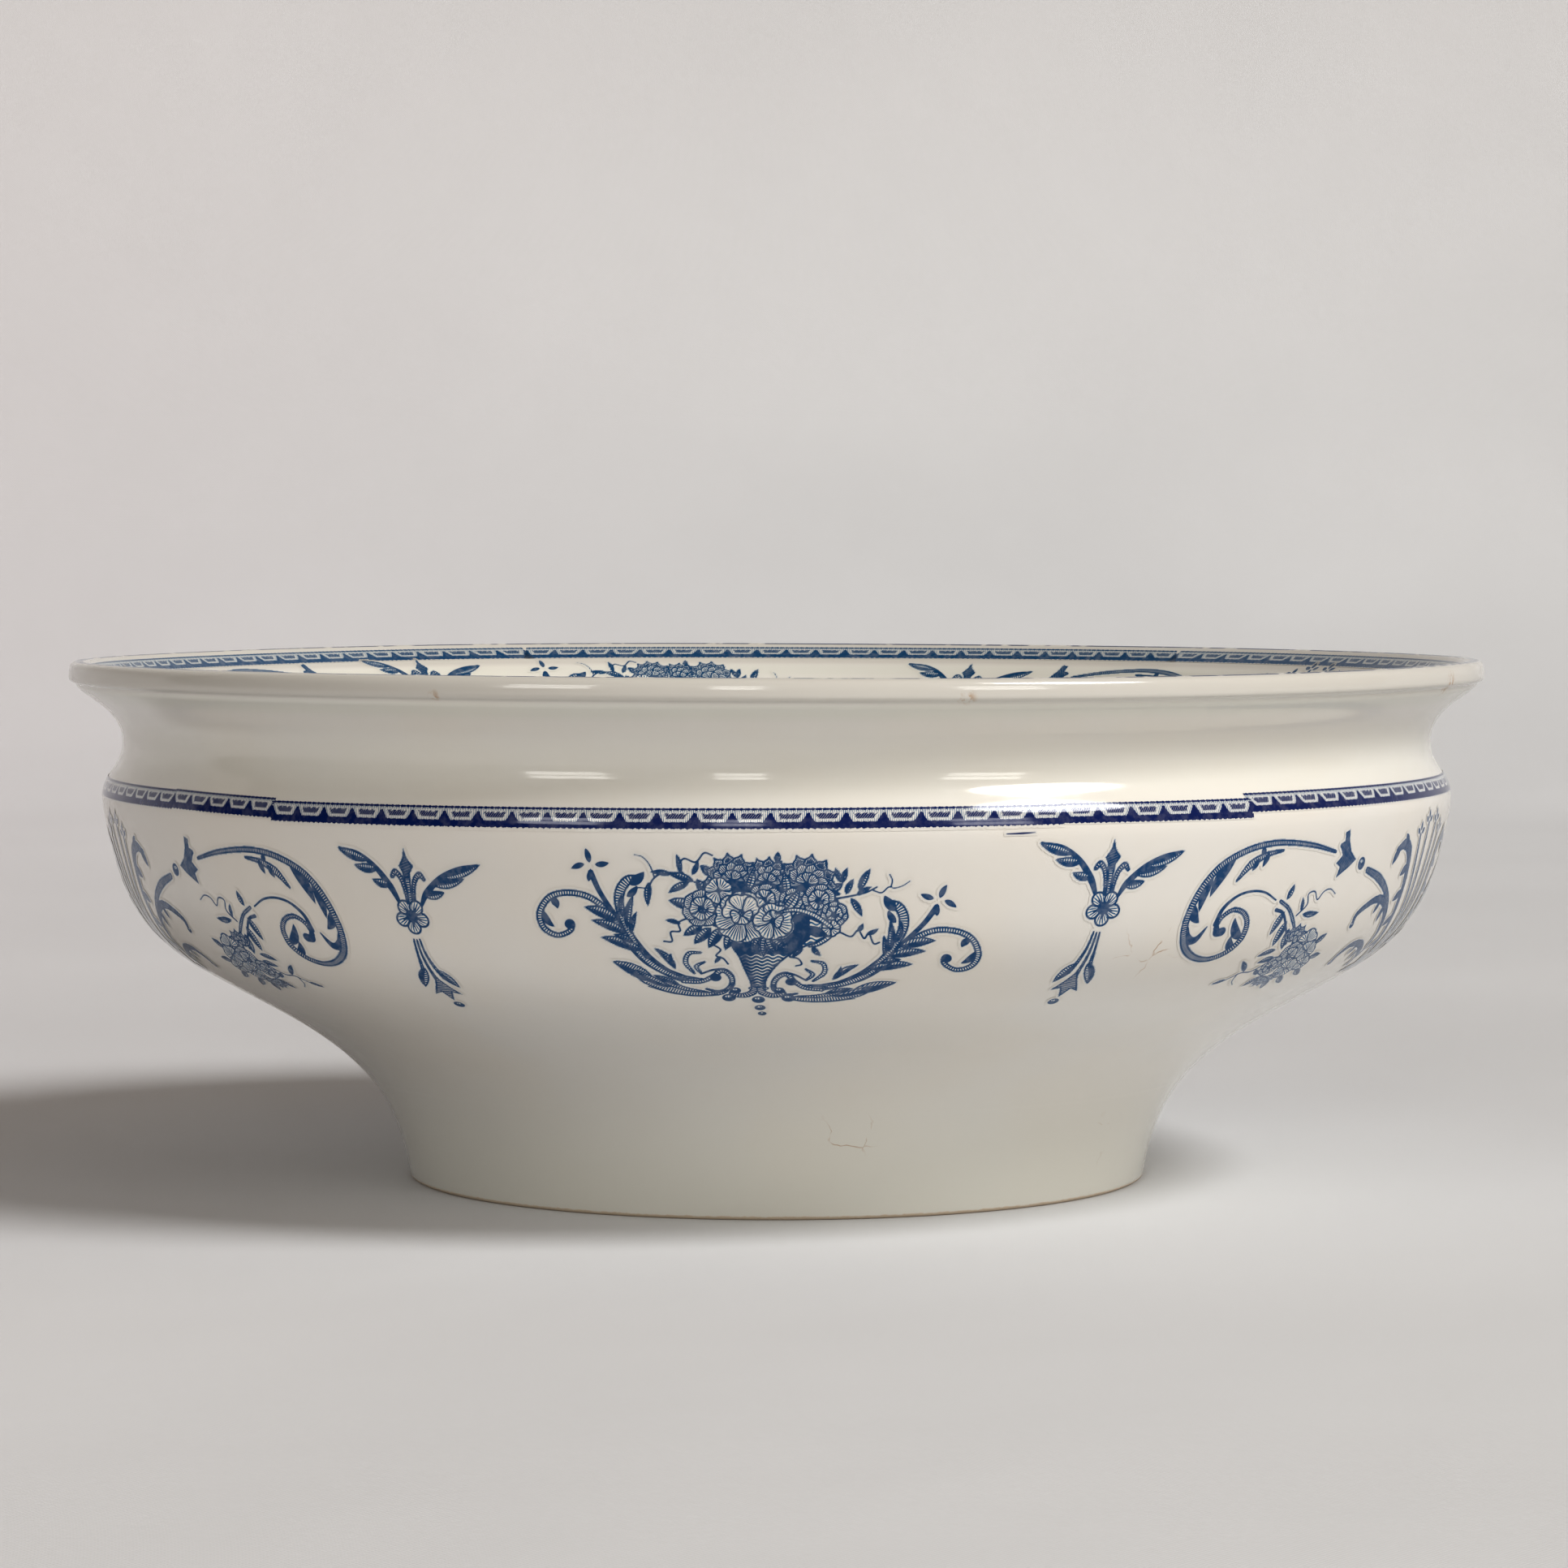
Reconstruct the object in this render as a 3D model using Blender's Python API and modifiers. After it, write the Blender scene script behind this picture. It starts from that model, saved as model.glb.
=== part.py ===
"""Footed porcelain serving bowl with printed decoration, one solid for each piece.

The thrown bowl, the foot ring that is luted under it and the slip between them are turned
about Z. The decoration is printed on tissue, cut out and laid on the clay piece by piece, so
every cut piece is a thin skin of its own, just off the wall that carries it.
Metres, +Z up, origin at the centre of the foot on the table.
"""

import math

import bmesh
import bpy
from mathutils import Matrix, Vector

MM = 0.001

# Overall sizes of the turned form. A drop is measured down from the crest of the rim.
HEIGHT = 99.3 * MM
RIM_RADIUS = 135.0 * MM
NECK_RADIUS = 125.0 * MM
NECK_DROP = 15.3 * MM
SHOULDER_RADIUS = 128.8 * MM
SHOULDER_DROP = 26.3 * MM
BELLY_RADIUS = 125.2 * MM
BELLY_DROP = 41.3 * MM
TURN_RADIUS = 97.0 * MM
TURN_DROP = 65.7 * MM
FOOT_RADIUS = 70.5 * MM

# The rolled bead along the rim.
BEAD_DEPTH = 5.1 * MM
BEAD_WIDEST_DROP = 3.0 * MM
BEAD_CREST_INSET = 2.5 * MM
BEAD_CREASE_INSET = 1.6 * MM

# Walls, floor and foot.
WALL = 4.6 * MM
WELL_RADIUS = 50.0 * MM
FLOOR_THICKNESS = 4.6 * MM
FOOT_HEIGHT = 20.0 * MM
FOOT_WALL = 7.0 * MM
FOOT_TOP_WALL = 9.0 * MM
FOOT_EDGE = 0.9 * MM
SLIP_THICKNESS = 0.6 * MM
CLEARANCE = 0.3 * MM

# Slopes of the outline where two of its curves meet, as radius over height.
CREASE_SLOPE = 1.3
BELLY_SLOPE = 0.36
TURN_SLOPE = 1.8
BASE_SLOPE = 0.17

# Printed pieces. Angles are in degrees about Z, counted from the front (-Y) towards +X.
PRINT_THICKNESS = 0.2 * MM
BORDER_HEIGHT = 3.4 * MM
OUTER_BORDER_DROP = 21.9 * MM
INNER_BORDER_DROP = 0.9 * MM
JOIN_GAP = 0.25
OUTER_BORDER_JOINS = (-43.0, 22.2, 39.8, 105.0, 170.2, 235.4, 303.0)
INNER_BORDER_JOINS = (9.0, 74.2, 139.4, 204.6, 269.8, 335.0)
OUTER_BAND_DROP = 27.9 * MM
INNER_BAND_DROP = 3.8 * MM
OUTER_FRONT = -1.6
INNER_FRONT = 190.7

# Each motif: its trimmed width and height along the wall, and the places it is laid at,
# counted from the middle cornucopia.
MOTIFS = {
    "cornucopia": (75.0 * MM, 38.0 * MM, (0.0, 143.0, 217.0)),
    "spray": (23.0 * MM, 38.0 * MM, (27.0, 116.0, 170.0, 190.0, 244.0, 333.0)),
    "scroll": (50.0 * MM, 37.0 * MM, (46.8, 96.2, 263.8, 313.2)),
    "fan": (40.0 * MM, 36.0 * MM, (71.5, 288.5)),
}
CORNER_RADIUS = 8.0 * MM

TURNS = 72
PRINT_STEP = 5.0


def bezier(start, start_handle, end_handle, end, steps):
    """Points along one cubic curve, without its first point."""
    points = []
    for index in range(1, steps + 1):
        t = index / steps
        s = 1.0 - t
        points.append(
            start * s**3 + start_handle * (3 * s * s * t) + end_handle * (3 * s * t * t) + end * t**3
        )
    return points


def station(radius, level):
    """A point of a half section: radius along X, level along Y."""
    return Vector((radius, level))


def leaning(slope):
    """Unit direction down and inwards along a wall of this slope."""
    return Vector((-slope, -1.0)).normalized()


def outer_outline(detail):
    """The outside from the rim's crest down to the base, top first."""
    crest = station(RIM_RADIUS - BEAD_CREST_INSET, HEIGHT)
    widest = station(RIM_RADIUS, HEIGHT - BEAD_WIDEST_DROP)
    crease = station(RIM_RADIUS - BEAD_CREASE_INSET, HEIGHT - BEAD_DEPTH)
    neck = station(NECK_RADIUS, HEIGHT - NECK_DROP)
    shoulder = station(SHOULDER_RADIUS, HEIGHT - SHOULDER_DROP)
    belly = station(BELLY_RADIUS, HEIGHT - BELLY_DROP)
    turn = station(TURN_RADIUS, HEIGHT - TURN_DROP)
    base = station(FOOT_RADIUS, 0.0)
    down = Vector((0.0, -1.0))
    out = Vector((1.0, 0.0))

    def reach(a, b, share):
        """A handle's length, as a share of the span that its curve bridges."""
        return (b - a).length * share

    bead_top = reach(crest, widest, 0.55)
    bead_side = reach(widest, crease, 0.55)
    flare = reach(crease, neck, 0.37)
    throat = reach(neck, shoulder, 0.46)
    upper = reach(shoulder, belly, 0.2)
    lower = reach(belly, turn, 0.36)
    swell = reach(turn, belly, 0.47)
    sweep = reach(turn, base, 0.5)
    return (
        [crest]
        + bezier(crest, crest + out * bead_top, widest - down * bead_top, widest, 2 * detail)
        + bezier(widest, widest + down * bead_side, crease - down * bead_side, crease, detail)
        + bezier(crease, crease + leaning(CREASE_SLOPE) * flare, neck - down * flare, neck, 3 * detail)
        + bezier(neck, neck + down * throat, shoulder - down * throat, shoulder, 3 * detail)
        + bezier(shoulder, shoulder + down * upper, belly - leaning(BELLY_SLOPE) * upper, belly,
                 3 * detail)
        + bezier(belly, belly + leaning(BELLY_SLOPE) * lower, turn - leaning(TURN_SLOPE) * swell, turn,
                 5 * detail)
        + bezier(turn, turn + leaning(TURN_SLOPE) * sweep, base - leaning(BASE_SLOPE) * sweep * 0.7, base,
                 5 * detail)
    )


def along(points, distance):
    """The point this far along a chain of points, and the direction there."""
    for a, b in zip(points, points[1:]):
        span = (b - a).length
        if distance <= span:
            break
        distance -= span
    return a.lerp(b, distance / span), (b - a).normalized()


def at_level(points, level):
    """The point where a chain that only descends passes this level."""
    for a, b in zip(points, points[1:]):
        if b.y <= level:
            break
    return a.lerp(b, (level - a.y) / (b.y - a.y))


def offset(points, distance):
    """A chain moved sideways, to the right of its direction when positive."""
    moved = []
    for index, point in enumerate(points):
        before = points[max(index - 1, 0)]
        after = points[min(index + 1, len(points) - 1)]
        direction = (after - before).normalized()
        moved.append(point + Vector((direction.y, -direction.x)) * distance)
    return moved


def inner_outline(detail):
    """The inside from the rim's crest down to the middle of the well, top first."""
    outside = outer_outline(detail)
    lowest = HEIGHT - TURN_DROP
    wall_top = HEIGHT - BEAD_DEPTH - WALL
    wall = [p for p in offset(outside, WALL) if lowest + WALL * 0.5 < p.y < wall_top + WALL]
    wall = [p for p in wall if p.x < RIM_RADIUS - BEAD_CREST_INSET - WALL * 0.5]
    last = wall[-1]
    downhill = (wall[-1] - wall[-2]).normalized()
    floor = FOOT_HEIGHT + SLIP_THICKNESS / 2 + CLEARANCE + FLOOR_THICKNESS
    well = station(WELL_RADIUS, floor)
    curve = bezier(
        last,
        last + downhill * (last - well).length * 0.4,
        well + Vector((1.0, 0.0)) * (last - well).length * 0.4,
        well,
        3 * detail,
    )
    return [outside[0]] + wall + curve + [station(0.0, floor)]


def clear_scene():
    """Removes whatever the scene holds."""
    for thing in list(bpy.data.objects):
        bpy.data.objects.remove(thing, do_unlink=True)


def new_collection(name):
    """A collection of this name under the scene's own."""
    made = bpy.data.collections.new(name)
    bpy.context.scene.collection.children.link(made)
    return made


def finish(name, colour, roughness):
    """A plain glossy or matt surface of this colour."""
    material = bpy.data.materials.new(name)
    material.use_nodes = True
    shader = material.node_tree.nodes["Principled BSDF"]
    shader.inputs["Base Color"].default_value = (*colour, 1.0)
    shader.inputs["Roughness"].default_value = roughness
    shader.inputs["Metallic"].default_value = 0.0
    return material


def half_section(name, points, closed):
    """A mesh of edges in the XZ plane for a Screw modifier to turn."""
    mesh = bpy.data.meshes.new(name)
    edges = [(i, i + 1) for i in range(len(points) - 1)]
    if closed:
        edges.append((len(points) - 1, 0))
    mesh.from_pydata([(p.x, 0.0, p.y) for p in points], edges, [])
    return mesh


def screw(thing, steps, degrees):
    """Turns a half section about Z through this angle."""
    modifier = thing.modifiers.new("turned", "SCREW")
    modifier.axis = "Z"
    modifier.angle = math.radians(degrees)
    modifier.steps = steps
    modifier.render_steps = steps
    modifier.use_smooth_shade = True
    modifier.use_merge_vertices = degrees >= 360.0
    modifier.merge_threshold = 0.00001


def turned(name, points, closed, material, collection):
    """A solid turned all the way round from its half section."""
    thing = bpy.data.objects.new(name, half_section(name, points, closed))
    collection.objects.link(thing)
    thing.data.materials.append(material)
    screw(thing, TURNS, 360.0)
    return thing


def print_skin(name, points, start, degrees, material, collection):
    """A thin skin over part of a wall: its section turned from one angle through another."""
    thing = bpy.data.objects.new(name, half_section(name, points, False))
    collection.objects.link(thing)
    thing.data.materials.append(material)
    thing.rotation_euler.z = math.radians(start - 90.0)
    screw(thing, max(2, math.ceil(degrees / PRINT_STEP)), degrees)
    skin = thing.modifiers.new("skin", "SOLIDIFY")
    skin.thickness = PRINT_THICKNESS
    skin.offset = 0.0
    skin.use_even_offset = True
    return thing


def skin_section(wall, start, length, segments):
    """The part of a wall's chain that a print covers, from a distance along it."""
    return [along(wall, start + length * i / segments)[0] for i in range(segments + 1)]


def trim_cutter(name, centre, degrees, width, height, lean, collection):
    """A block with rounded corners, standing across the wall, that trims a printed piece."""
    mesh = bpy.data.meshes.new(name)
    block = bmesh.new()
    bmesh.ops.create_cube(block, size=1.0, matrix=Matrix.Diagonal((width, height, height, 1.0)))
    corners = [e for e in block.edges if abs((e.verts[0].co - e.verts[1].co).y) > height * 0.5]
    bmesh.ops.bevel(block, geom=corners, offset=CORNER_RADIUS, segments=3, profile=0.5, affect="EDGES")
    block.to_mesh(mesh)
    block.free()
    thing = bpy.data.objects.new(name, mesh)
    collection.objects.link(thing)
    turn = Matrix.Rotation(math.radians(degrees), 4, "Z")
    tilt = Matrix.Rotation(lean, 4, "X")
    thing.matrix_world = turn @ Matrix.Translation((0.0, -centre.x, centre.y)) @ tilt
    thing.hide_render = True
    thing.display_type = "WIRE"
    return thing


def bowl_section():
    """The bowl's half section, from the well's middle up the inside and down the outside."""
    inside = inner_outline(1)
    outside = outer_outline(1)
    dense = outer_outline(12)
    underside = FOOT_HEIGHT + SLIP_THICKNESS / 2 + CLEARANCE
    turn_level = HEIGHT - TURN_DROP
    upper = [p for p in outside[1:] if p.y > turn_level - CLEARANCE]
    steps = 3
    lower = [
        at_level(dense, turn_level + (underside - turn_level) * i / steps) for i in range(1, steps + 1)
    ]
    return inside[::-1] + upper + lower + [station(0.0, underside)]


def foot_section():
    """The foot ring's half section, a closed loop that runs down its outer side."""
    dense = outer_outline(12)
    top = FOOT_HEIGHT - SLIP_THICKNESS / 2 - CLEARANCE
    steps = 4
    outside = [at_level(dense, top + (FOOT_EDGE - top) * i / steps) for i in range(steps + 1)]
    base_inner = FOOT_RADIUS - FOOT_WALL
    loop = outside + [
        station(FOOT_RADIUS - FOOT_EDGE, 0.0),
        station(base_inner + FOOT_EDGE, 0.0),
        station(base_inner, FOOT_EDGE),
        station(outside[0].x - FOOT_TOP_WALL, top),
    ]
    return loop


def slip_section():
    """The slip joint's half section, a flat ring between the foot and the bowl."""
    dense = outer_outline(12)
    half = SLIP_THICKNESS / 2
    foot_top = at_level(dense, FOOT_HEIGHT - half - CLEARANCE).x
    outer = foot_top - CLEARANCE
    inner = foot_top - FOOT_TOP_WALL + CLEARANCE
    return [
        station(outer, FOOT_HEIGHT + half),
        station(outer, FOOT_HEIGHT - half),
        station(inner, FOOT_HEIGHT - half),
        station(inner, FOOT_HEIGHT + half),
    ]


def run_to_level(wall, level):
    """The distance along a descending wall at which it passes this level."""
    distance = 0.0
    for a, b in zip(wall, wall[1:]):
        if b.y <= level:
            return distance + (b - a).length * (level - a.y) / (b.y - a.y)
        distance += (b - a).length
    return distance


def lay_borders(side, wall, drop, joins, material, collection):
    """The toothed border, laid in strips that meet at the joins."""
    start = run_to_level(wall, HEIGHT - drop)
    section = skin_section(wall, start, BORDER_HEIGHT, 2)
    for index, join in enumerate(joins):
        following = joins[(index + 1) % len(joins)]
        span = (following - join) % 360.0 - 2 * JOIN_GAP
        print_skin(
            f"{side}_border_strip_{index + 1}", section, join + JOIN_GAP, span, material, collection
        )


def lay_motifs(side, wall, drop, front, material, collection, cutters):
    """The cut-out motifs, laid round the wall below the border."""
    start = run_to_level(wall, HEIGHT - drop)
    for motif, (width, height, places) in MOTIFS.items():
        centre, direction = along(wall, start + height / 2)
        section = skin_section(wall, start - CLEARANCE, height + 2 * CLEARANCE, 6)
        narrowest = min(p.x for p in section)
        reach = math.degrees(math.asin(min(0.9, (width / 2 + CLEARANCE) / narrowest)))
        lean = math.atan2(direction.x, -direction.y)
        for index, place in enumerate(places):
            angle = front + place
            name = f"{side}_{motif}_print_{index + 1}"
            piece = print_skin(name, section, angle - reach, 2 * reach, material, collection)
            cutter = trim_cutter(name + "_trim", centre, angle, width, height, lean, cutters)
            trim = piece.modifiers.new("trimmed", "BOOLEAN")
            trim.operation = "INTERSECT"
            trim.solver = "EXACT"
            trim.object = cutter


def build():
    """Makes every piece of the bowl."""
    clear_scene()
    pieces = new_collection("serving_bowl")
    cutters = new_collection("trim_cutters")
    glaze = finish("ivory_glaze", (0.83, 0.81, 0.76), 0.08)
    body = finish("bare_clay", (0.74, 0.68, 0.58), 0.75)
    ink = finish("blue_print", (0.045, 0.12, 0.27), 0.10)

    turned("bowl", bowl_section(), False, glaze, pieces)
    turned("foot_ring", foot_section(), True, glaze, pieces)
    turned("slip_joint", slip_section(), True, body, pieces)

    stand_off = CLEARANCE + PRINT_THICKNESS
    outside = offset(outer_outline(12), -stand_off)
    inside = offset(inner_outline(12), stand_off)
    lay_borders("outer", outside, OUTER_BORDER_DROP, OUTER_BORDER_JOINS, ink, pieces)
    lay_borders("inner", inside, INNER_BORDER_DROP, INNER_BORDER_JOINS, ink, pieces)
    lay_motifs("outer", outside, OUTER_BAND_DROP, OUTER_FRONT, ink, pieces, cutters)
    lay_motifs("inner", inside, INNER_BAND_DROP, INNER_FRONT, ink, pieces, cutters)


build()
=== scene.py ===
"""Looks of the footed serving bowl: the glazed clay, its underglaze blue prints and the studio.

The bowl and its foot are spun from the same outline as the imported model. Every print is engraved
on a flat plate, laid on the wall like the tissue it was transferred with, and fired under one glaze.
Metres, +Z up. The ornament is drawn in millimetres: u to the right along the wall, v down it.
"""

import logging
import math
from collections.abc import Callable
from dataclasses import dataclass, field
from enum import Enum

import bpy
import numpy as np
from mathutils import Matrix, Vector


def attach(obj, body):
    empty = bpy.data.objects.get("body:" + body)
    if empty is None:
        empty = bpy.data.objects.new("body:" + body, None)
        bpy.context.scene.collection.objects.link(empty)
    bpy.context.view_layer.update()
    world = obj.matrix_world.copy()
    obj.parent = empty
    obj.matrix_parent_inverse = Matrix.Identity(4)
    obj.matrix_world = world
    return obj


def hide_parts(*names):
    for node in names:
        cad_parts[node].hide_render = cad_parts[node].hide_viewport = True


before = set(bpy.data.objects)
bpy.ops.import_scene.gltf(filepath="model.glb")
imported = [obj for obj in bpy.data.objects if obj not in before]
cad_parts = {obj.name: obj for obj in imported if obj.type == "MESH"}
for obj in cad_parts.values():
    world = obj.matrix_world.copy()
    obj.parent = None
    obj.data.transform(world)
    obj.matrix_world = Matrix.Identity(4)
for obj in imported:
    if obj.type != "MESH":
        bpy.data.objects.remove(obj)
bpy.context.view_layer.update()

LOG = logging.getLogger("serving_bowl")
MM = 0.001
BODY = "root"
FINE = 12
FAR = 99.0
WELD = 0.02 * MM
SMOOTH_BELOW = math.radians(38)
Colour = tuple[float, float, float]


# ---------------------------------------------------------------------------------------------
# Small helpers for curves and meshes


def bezier(start: np.ndarray, start_handle: np.ndarray, end_handle: np.ndarray, end: np.ndarray,
           steps: int) -> list[np.ndarray]:
    """Points along one cubic curve, without its first point.

    Args:
        start: First point.
        start_handle: Handle that leaves the first point.
        end_handle: Handle that reaches the last point.
        end: Last point.
        steps: Number of points made.

    Returns:
        The points, last one at the end of the curve.
    """
    made = []
    for index in range(1, steps + 1):
        t = index / steps
        s = 1.0 - t
        made.append(start * s**3 + start_handle * (3 * s * s * t) + end_handle * (3 * s * t * t)
                    + end * t**3)
    return made


def unit(vector: np.ndarray) -> np.ndarray:
    """The vector at length one."""
    return vector / np.linalg.norm(vector)


def smooth(points: list | np.ndarray, per_span: int = 6, closed: bool = False) -> np.ndarray:
    """A smooth line through a few points.

    Args:
        points: The points that the line passes.
        per_span: Points made between two neighbours.
        closed: Whether the last point leads back to the first.

    Returns:
        The points of the line, one row each.
    """
    given = np.asarray(points, float)
    if closed:
        padded = np.vstack([given[-1], given, given[:2]])
    else:
        padded = np.vstack([2 * given[0] - given[1], given, 2 * given[-1] - given[-2]])
    line = []
    for a, b, c, d in zip(padded, padded[1:], padded[2:], padded[3:]):
        for t in np.arange(per_span) / per_span:
            line.append(0.5 * (2 * b + (c - a) * t + (2 * a - 5 * b + 4 * c - d) * t**2
                               + (3 * b - a - 3 * c + d) * t**3))
    if not closed:
        line.append(given[-1])
    return np.array(line)


def half_widths(width: tuple | float, count: int) -> np.ndarray:
    """Half the width of a line at each of its points.

    Args:
        width: One width, or widths spread evenly along the line.
        count: Number of points.

    Returns:
        Half the width at each point.
    """
    given = np.atleast_1d(width).astype(float)
    if len(given) < 2:
        given = np.repeat(given, 2)
    return np.interp(np.linspace(0, 1, count), np.linspace(0, 1, len(given)), given) * 0.5


def deselect() -> None:
    """Leaves nothing selected, in object mode."""
    if bpy.context.mode != "OBJECT":
        bpy.ops.object.mode_set(mode="OBJECT")
    bpy.ops.object.select_all(action="DESELECT")


def places_of(piece: bpy.types.Object) -> np.ndarray:
    """The places of a piece's points.

    Args:
        piece: The piece.

    Returns:
        The places, one row each.
    """
    flat = np.empty(len(piece.data.vertices) * 3, np.float32)
    piece.data.vertices.foreach_get("co", flat)
    return flat.reshape(-1, 3).astype(float)


def put_places(piece: bpy.types.Object, places: np.ndarray) -> None:
    """Moves a piece's points to these places."""
    piece.data.vertices.foreach_set("co", places.astype(np.float32).ravel())
    piece.data.update()


# ---------------------------------------------------------------------------------------------
# The turned form


@dataclass(frozen=True)
class Wall:
    """One side of the clay as a chain of radius and level, top first."""

    chain: np.ndarray

    def runs(self) -> np.ndarray:
        """How far along the chain each of its points lies."""
        return np.concatenate([[0.0], np.cumsum(np.hypot(*np.diff(self.chain, axis=0).T))])

    def run_to(self, level: float) -> float:
        """The distance along the chain at which it passes a level."""
        return float(np.interp(-level, -self.chain[:, 1], self.runs()))

    def at(self, run: np.ndarray) -> tuple[np.ndarray, np.ndarray]:
        """Radius and level at distances along the chain.

        Args:
            run: The distances, from the top.

        Returns:
            The radii and the levels.
        """
        runs = self.runs()
        return np.interp(run, runs, self.chain[:, 0]), np.interp(run, runs, self.chain[:, 1])

    def moved(self, distance: float) -> "Wall":
        """The same wall moved sideways.

        Args:
            distance: How far, to the right of its direction when positive.

        Returns:
            The moved wall.
        """
        before = np.vstack([self.chain[:1], self.chain[:-1]])
        after = np.vstack([self.chain[1:], self.chain[-1:]])
        way = after - before
        way = way / np.hypot(way[:, 0], way[:, 1])[:, None]
        return Wall(self.chain + np.stack([way[:, 1], -way[:, 0]], axis=1) * distance)


@dataclass(frozen=True)
class BowlForm:
    """Sizes of the turned form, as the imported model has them."""

    height: float = 99.3 * MM
    rim_radius: float = 135.0 * MM
    neck: tuple[float, float] = (125.0 * MM, 15.3 * MM)
    shoulder: tuple[float, float] = (128.8 * MM, 26.3 * MM)
    belly: tuple[float, float] = (125.2 * MM, 41.3 * MM)
    turn: tuple[float, float] = (97.0 * MM, 65.7 * MM)
    foot_radius: float = 70.5 * MM
    bead_depth: float = 5.1 * MM
    bead_widest: float = 3.0 * MM
    crest_inset: float = 2.5 * MM
    crease_inset: float = 1.6 * MM
    wall: float = 4.6 * MM
    well_radius: float = 50.0 * MM
    floor_level: float = 25.2 * MM
    foot_height: float = 20.0 * MM
    foot_wall: float = 7.0 * MM
    foot_top_wall: float = 9.0 * MM
    foot_edge: float = 0.9 * MM
    detail: int = 9
    turns: int = 240

    def outside(self, detail: int) -> np.ndarray:
        """The outside from the rim's crest down to the base, top first.

        Args:
            detail: Number of points in the shortest curve.

        Returns:
            Rows of radius and level.
        """
        top = self.height
        crest = np.array([self.rim_radius - self.crest_inset, top])
        widest = np.array([self.rim_radius, top - self.bead_widest])
        crease = np.array([self.rim_radius - self.crease_inset, top - self.bead_depth])
        neck, shoulder, belly, turn = (np.array([radius, top - drop]) for radius, drop in
                                       (self.neck, self.shoulder, self.belly, self.turn))
        base = np.array([self.foot_radius, 0.0])
        down, out = np.array([0.0, -1.0]), np.array([1.0, 0.0])
        crease_way, belly_way, turn_way, base_way = (
            unit(np.array([-slope, -1.0])) for slope in (1.3, 0.36, 1.8, 0.17))

        def reach(a: np.ndarray, b: np.ndarray, share: float) -> float:
            """A handle's length, as a share of the span that its curve bridges."""
            return float(np.linalg.norm(b - a)) * share

        bead_top, bead_side = reach(crest, widest, 0.55), reach(widest, crease, 0.55)
        flare, throat = reach(crease, neck, 0.37), reach(neck, shoulder, 0.46)
        upper, lower = reach(shoulder, belly, 0.2), reach(belly, turn, 0.36)
        swell, sweep = reach(turn, belly, 0.47), reach(turn, base, 0.5)
        return np.array(
            [crest]
            + bezier(crest, crest + out * bead_top, widest - down * bead_top, widest, 2 * detail)
            + bezier(widest, widest + down * bead_side, crease - down * bead_side, crease, detail)
            + bezier(crease, crease + crease_way * flare, neck - down * flare, neck, 3 * detail)
            + bezier(neck, neck + down * throat, shoulder - down * throat, shoulder, 3 * detail)
            + bezier(shoulder, shoulder + down * upper, belly - belly_way * upper, belly, 3 * detail)
            + bezier(belly, belly + belly_way * lower, turn - turn_way * swell, turn, 5 * detail)
            + bezier(turn, turn + turn_way * sweep, base - base_way * sweep * 0.7, base, 5 * detail))

    def inside(self, detail: int) -> np.ndarray:
        """The inside from the rim's crest down to the middle of the well, top first.

        Args:
            detail: Number of points in the shortest curve.

        Returns:
            Rows of radius and level.
        """
        outer = self.outside(detail)
        lowest = self.height - self.turn[1]
        chain = Wall(outer).moved(self.wall).chain
        keep = (chain[:, 1] > lowest + self.wall * 0.5) & (chain[:, 1] < self.height - self.bead_depth)
        keep &= chain[:, 0] < self.rim_radius - self.crest_inset - self.wall * 0.5
        wall = chain[keep]
        last, downhill = wall[-1], unit(wall[-1] - wall[-2])
        well = np.array([self.well_radius, self.floor_level])
        handle = float(np.linalg.norm(last - well)) * 0.4
        curve = bezier(last, last + downhill * handle, well + np.array([handle, 0.0]), well, 3 * detail)
        return np.vstack([outer[:1], wall, curve, [[0.0, self.floor_level]]])


@dataclass(frozen=True)
class ThrowingMarks:
    """The slow unevenness of a hand-thrown wall, never outwards or upwards of the true form."""

    squeeze: float = 0.22 * MM
    sag: float = 0.45 * MM

    def lay(self, places: np.ndarray, height: float) -> np.ndarray:
        """Moves points as the clay moved in drying and firing.

        Args:
            places: Points in metres, one row each.
            height: Height of the whole form.

        Returns:
            The moved points.
        """
        angle = np.arctan2(places[:, 0], -places[:, 1])
        share = np.clip(places[:, 2] / height, 0.0, 1.0)
        squeeze = (1.0 - np.cos(2 * angle + 0.8)) * 0.5 * share
        squeeze += (1.0 - np.cos(7 * angle - 1.1)) * 0.12 * share**2
        sag = (1.0 - np.cos(3 * angle + 2.1)) * 0.35 + (1.0 - np.cos(5 * angle + 0.4)) * 0.15
        radius = np.maximum(np.hypot(places[:, 0], places[:, 1]), 1e-6)
        scale = 1.0 - self.squeeze * squeeze / radius * np.clip(radius / (60 * MM), 0.0, 1.0)
        moved = places.copy()
        moved[:, :2] *= scale[:, None]
        moved[:, 2] -= self.sag * sag * share**4
        return moved


def soften(chain: np.ndarray, corner: int, reach: float, steps: int = 5) -> np.ndarray:
    """Rounds one corner of a chain, as glaze does where it runs over an edge.

    Args:
        chain: The points, one row each.
        corner: Index of the corner.
        reach: How far the rounding reaches to either side.
        steps: Points in the rounding.

    Returns:
        The chain with its corner rounded.
    """
    runs = Wall(chain).runs()
    low, high = runs[corner] - reach, runs[corner] + reach
    start = np.array([np.interp(low, runs, chain[:, i]) for i in (0, 1)])
    end = np.array([np.interp(high, runs, chain[:, i]) for i in (0, 1)])
    arc = [start * (1 - t) ** 2 + chain[corner] * 2 * t * (1 - t) + end * t**2
           for t in np.linspace(0.0, 1.0, steps)]
    return np.vstack([chain[runs < low - 1e-6], arc, chain[runs > high + 1e-6]])


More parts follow.
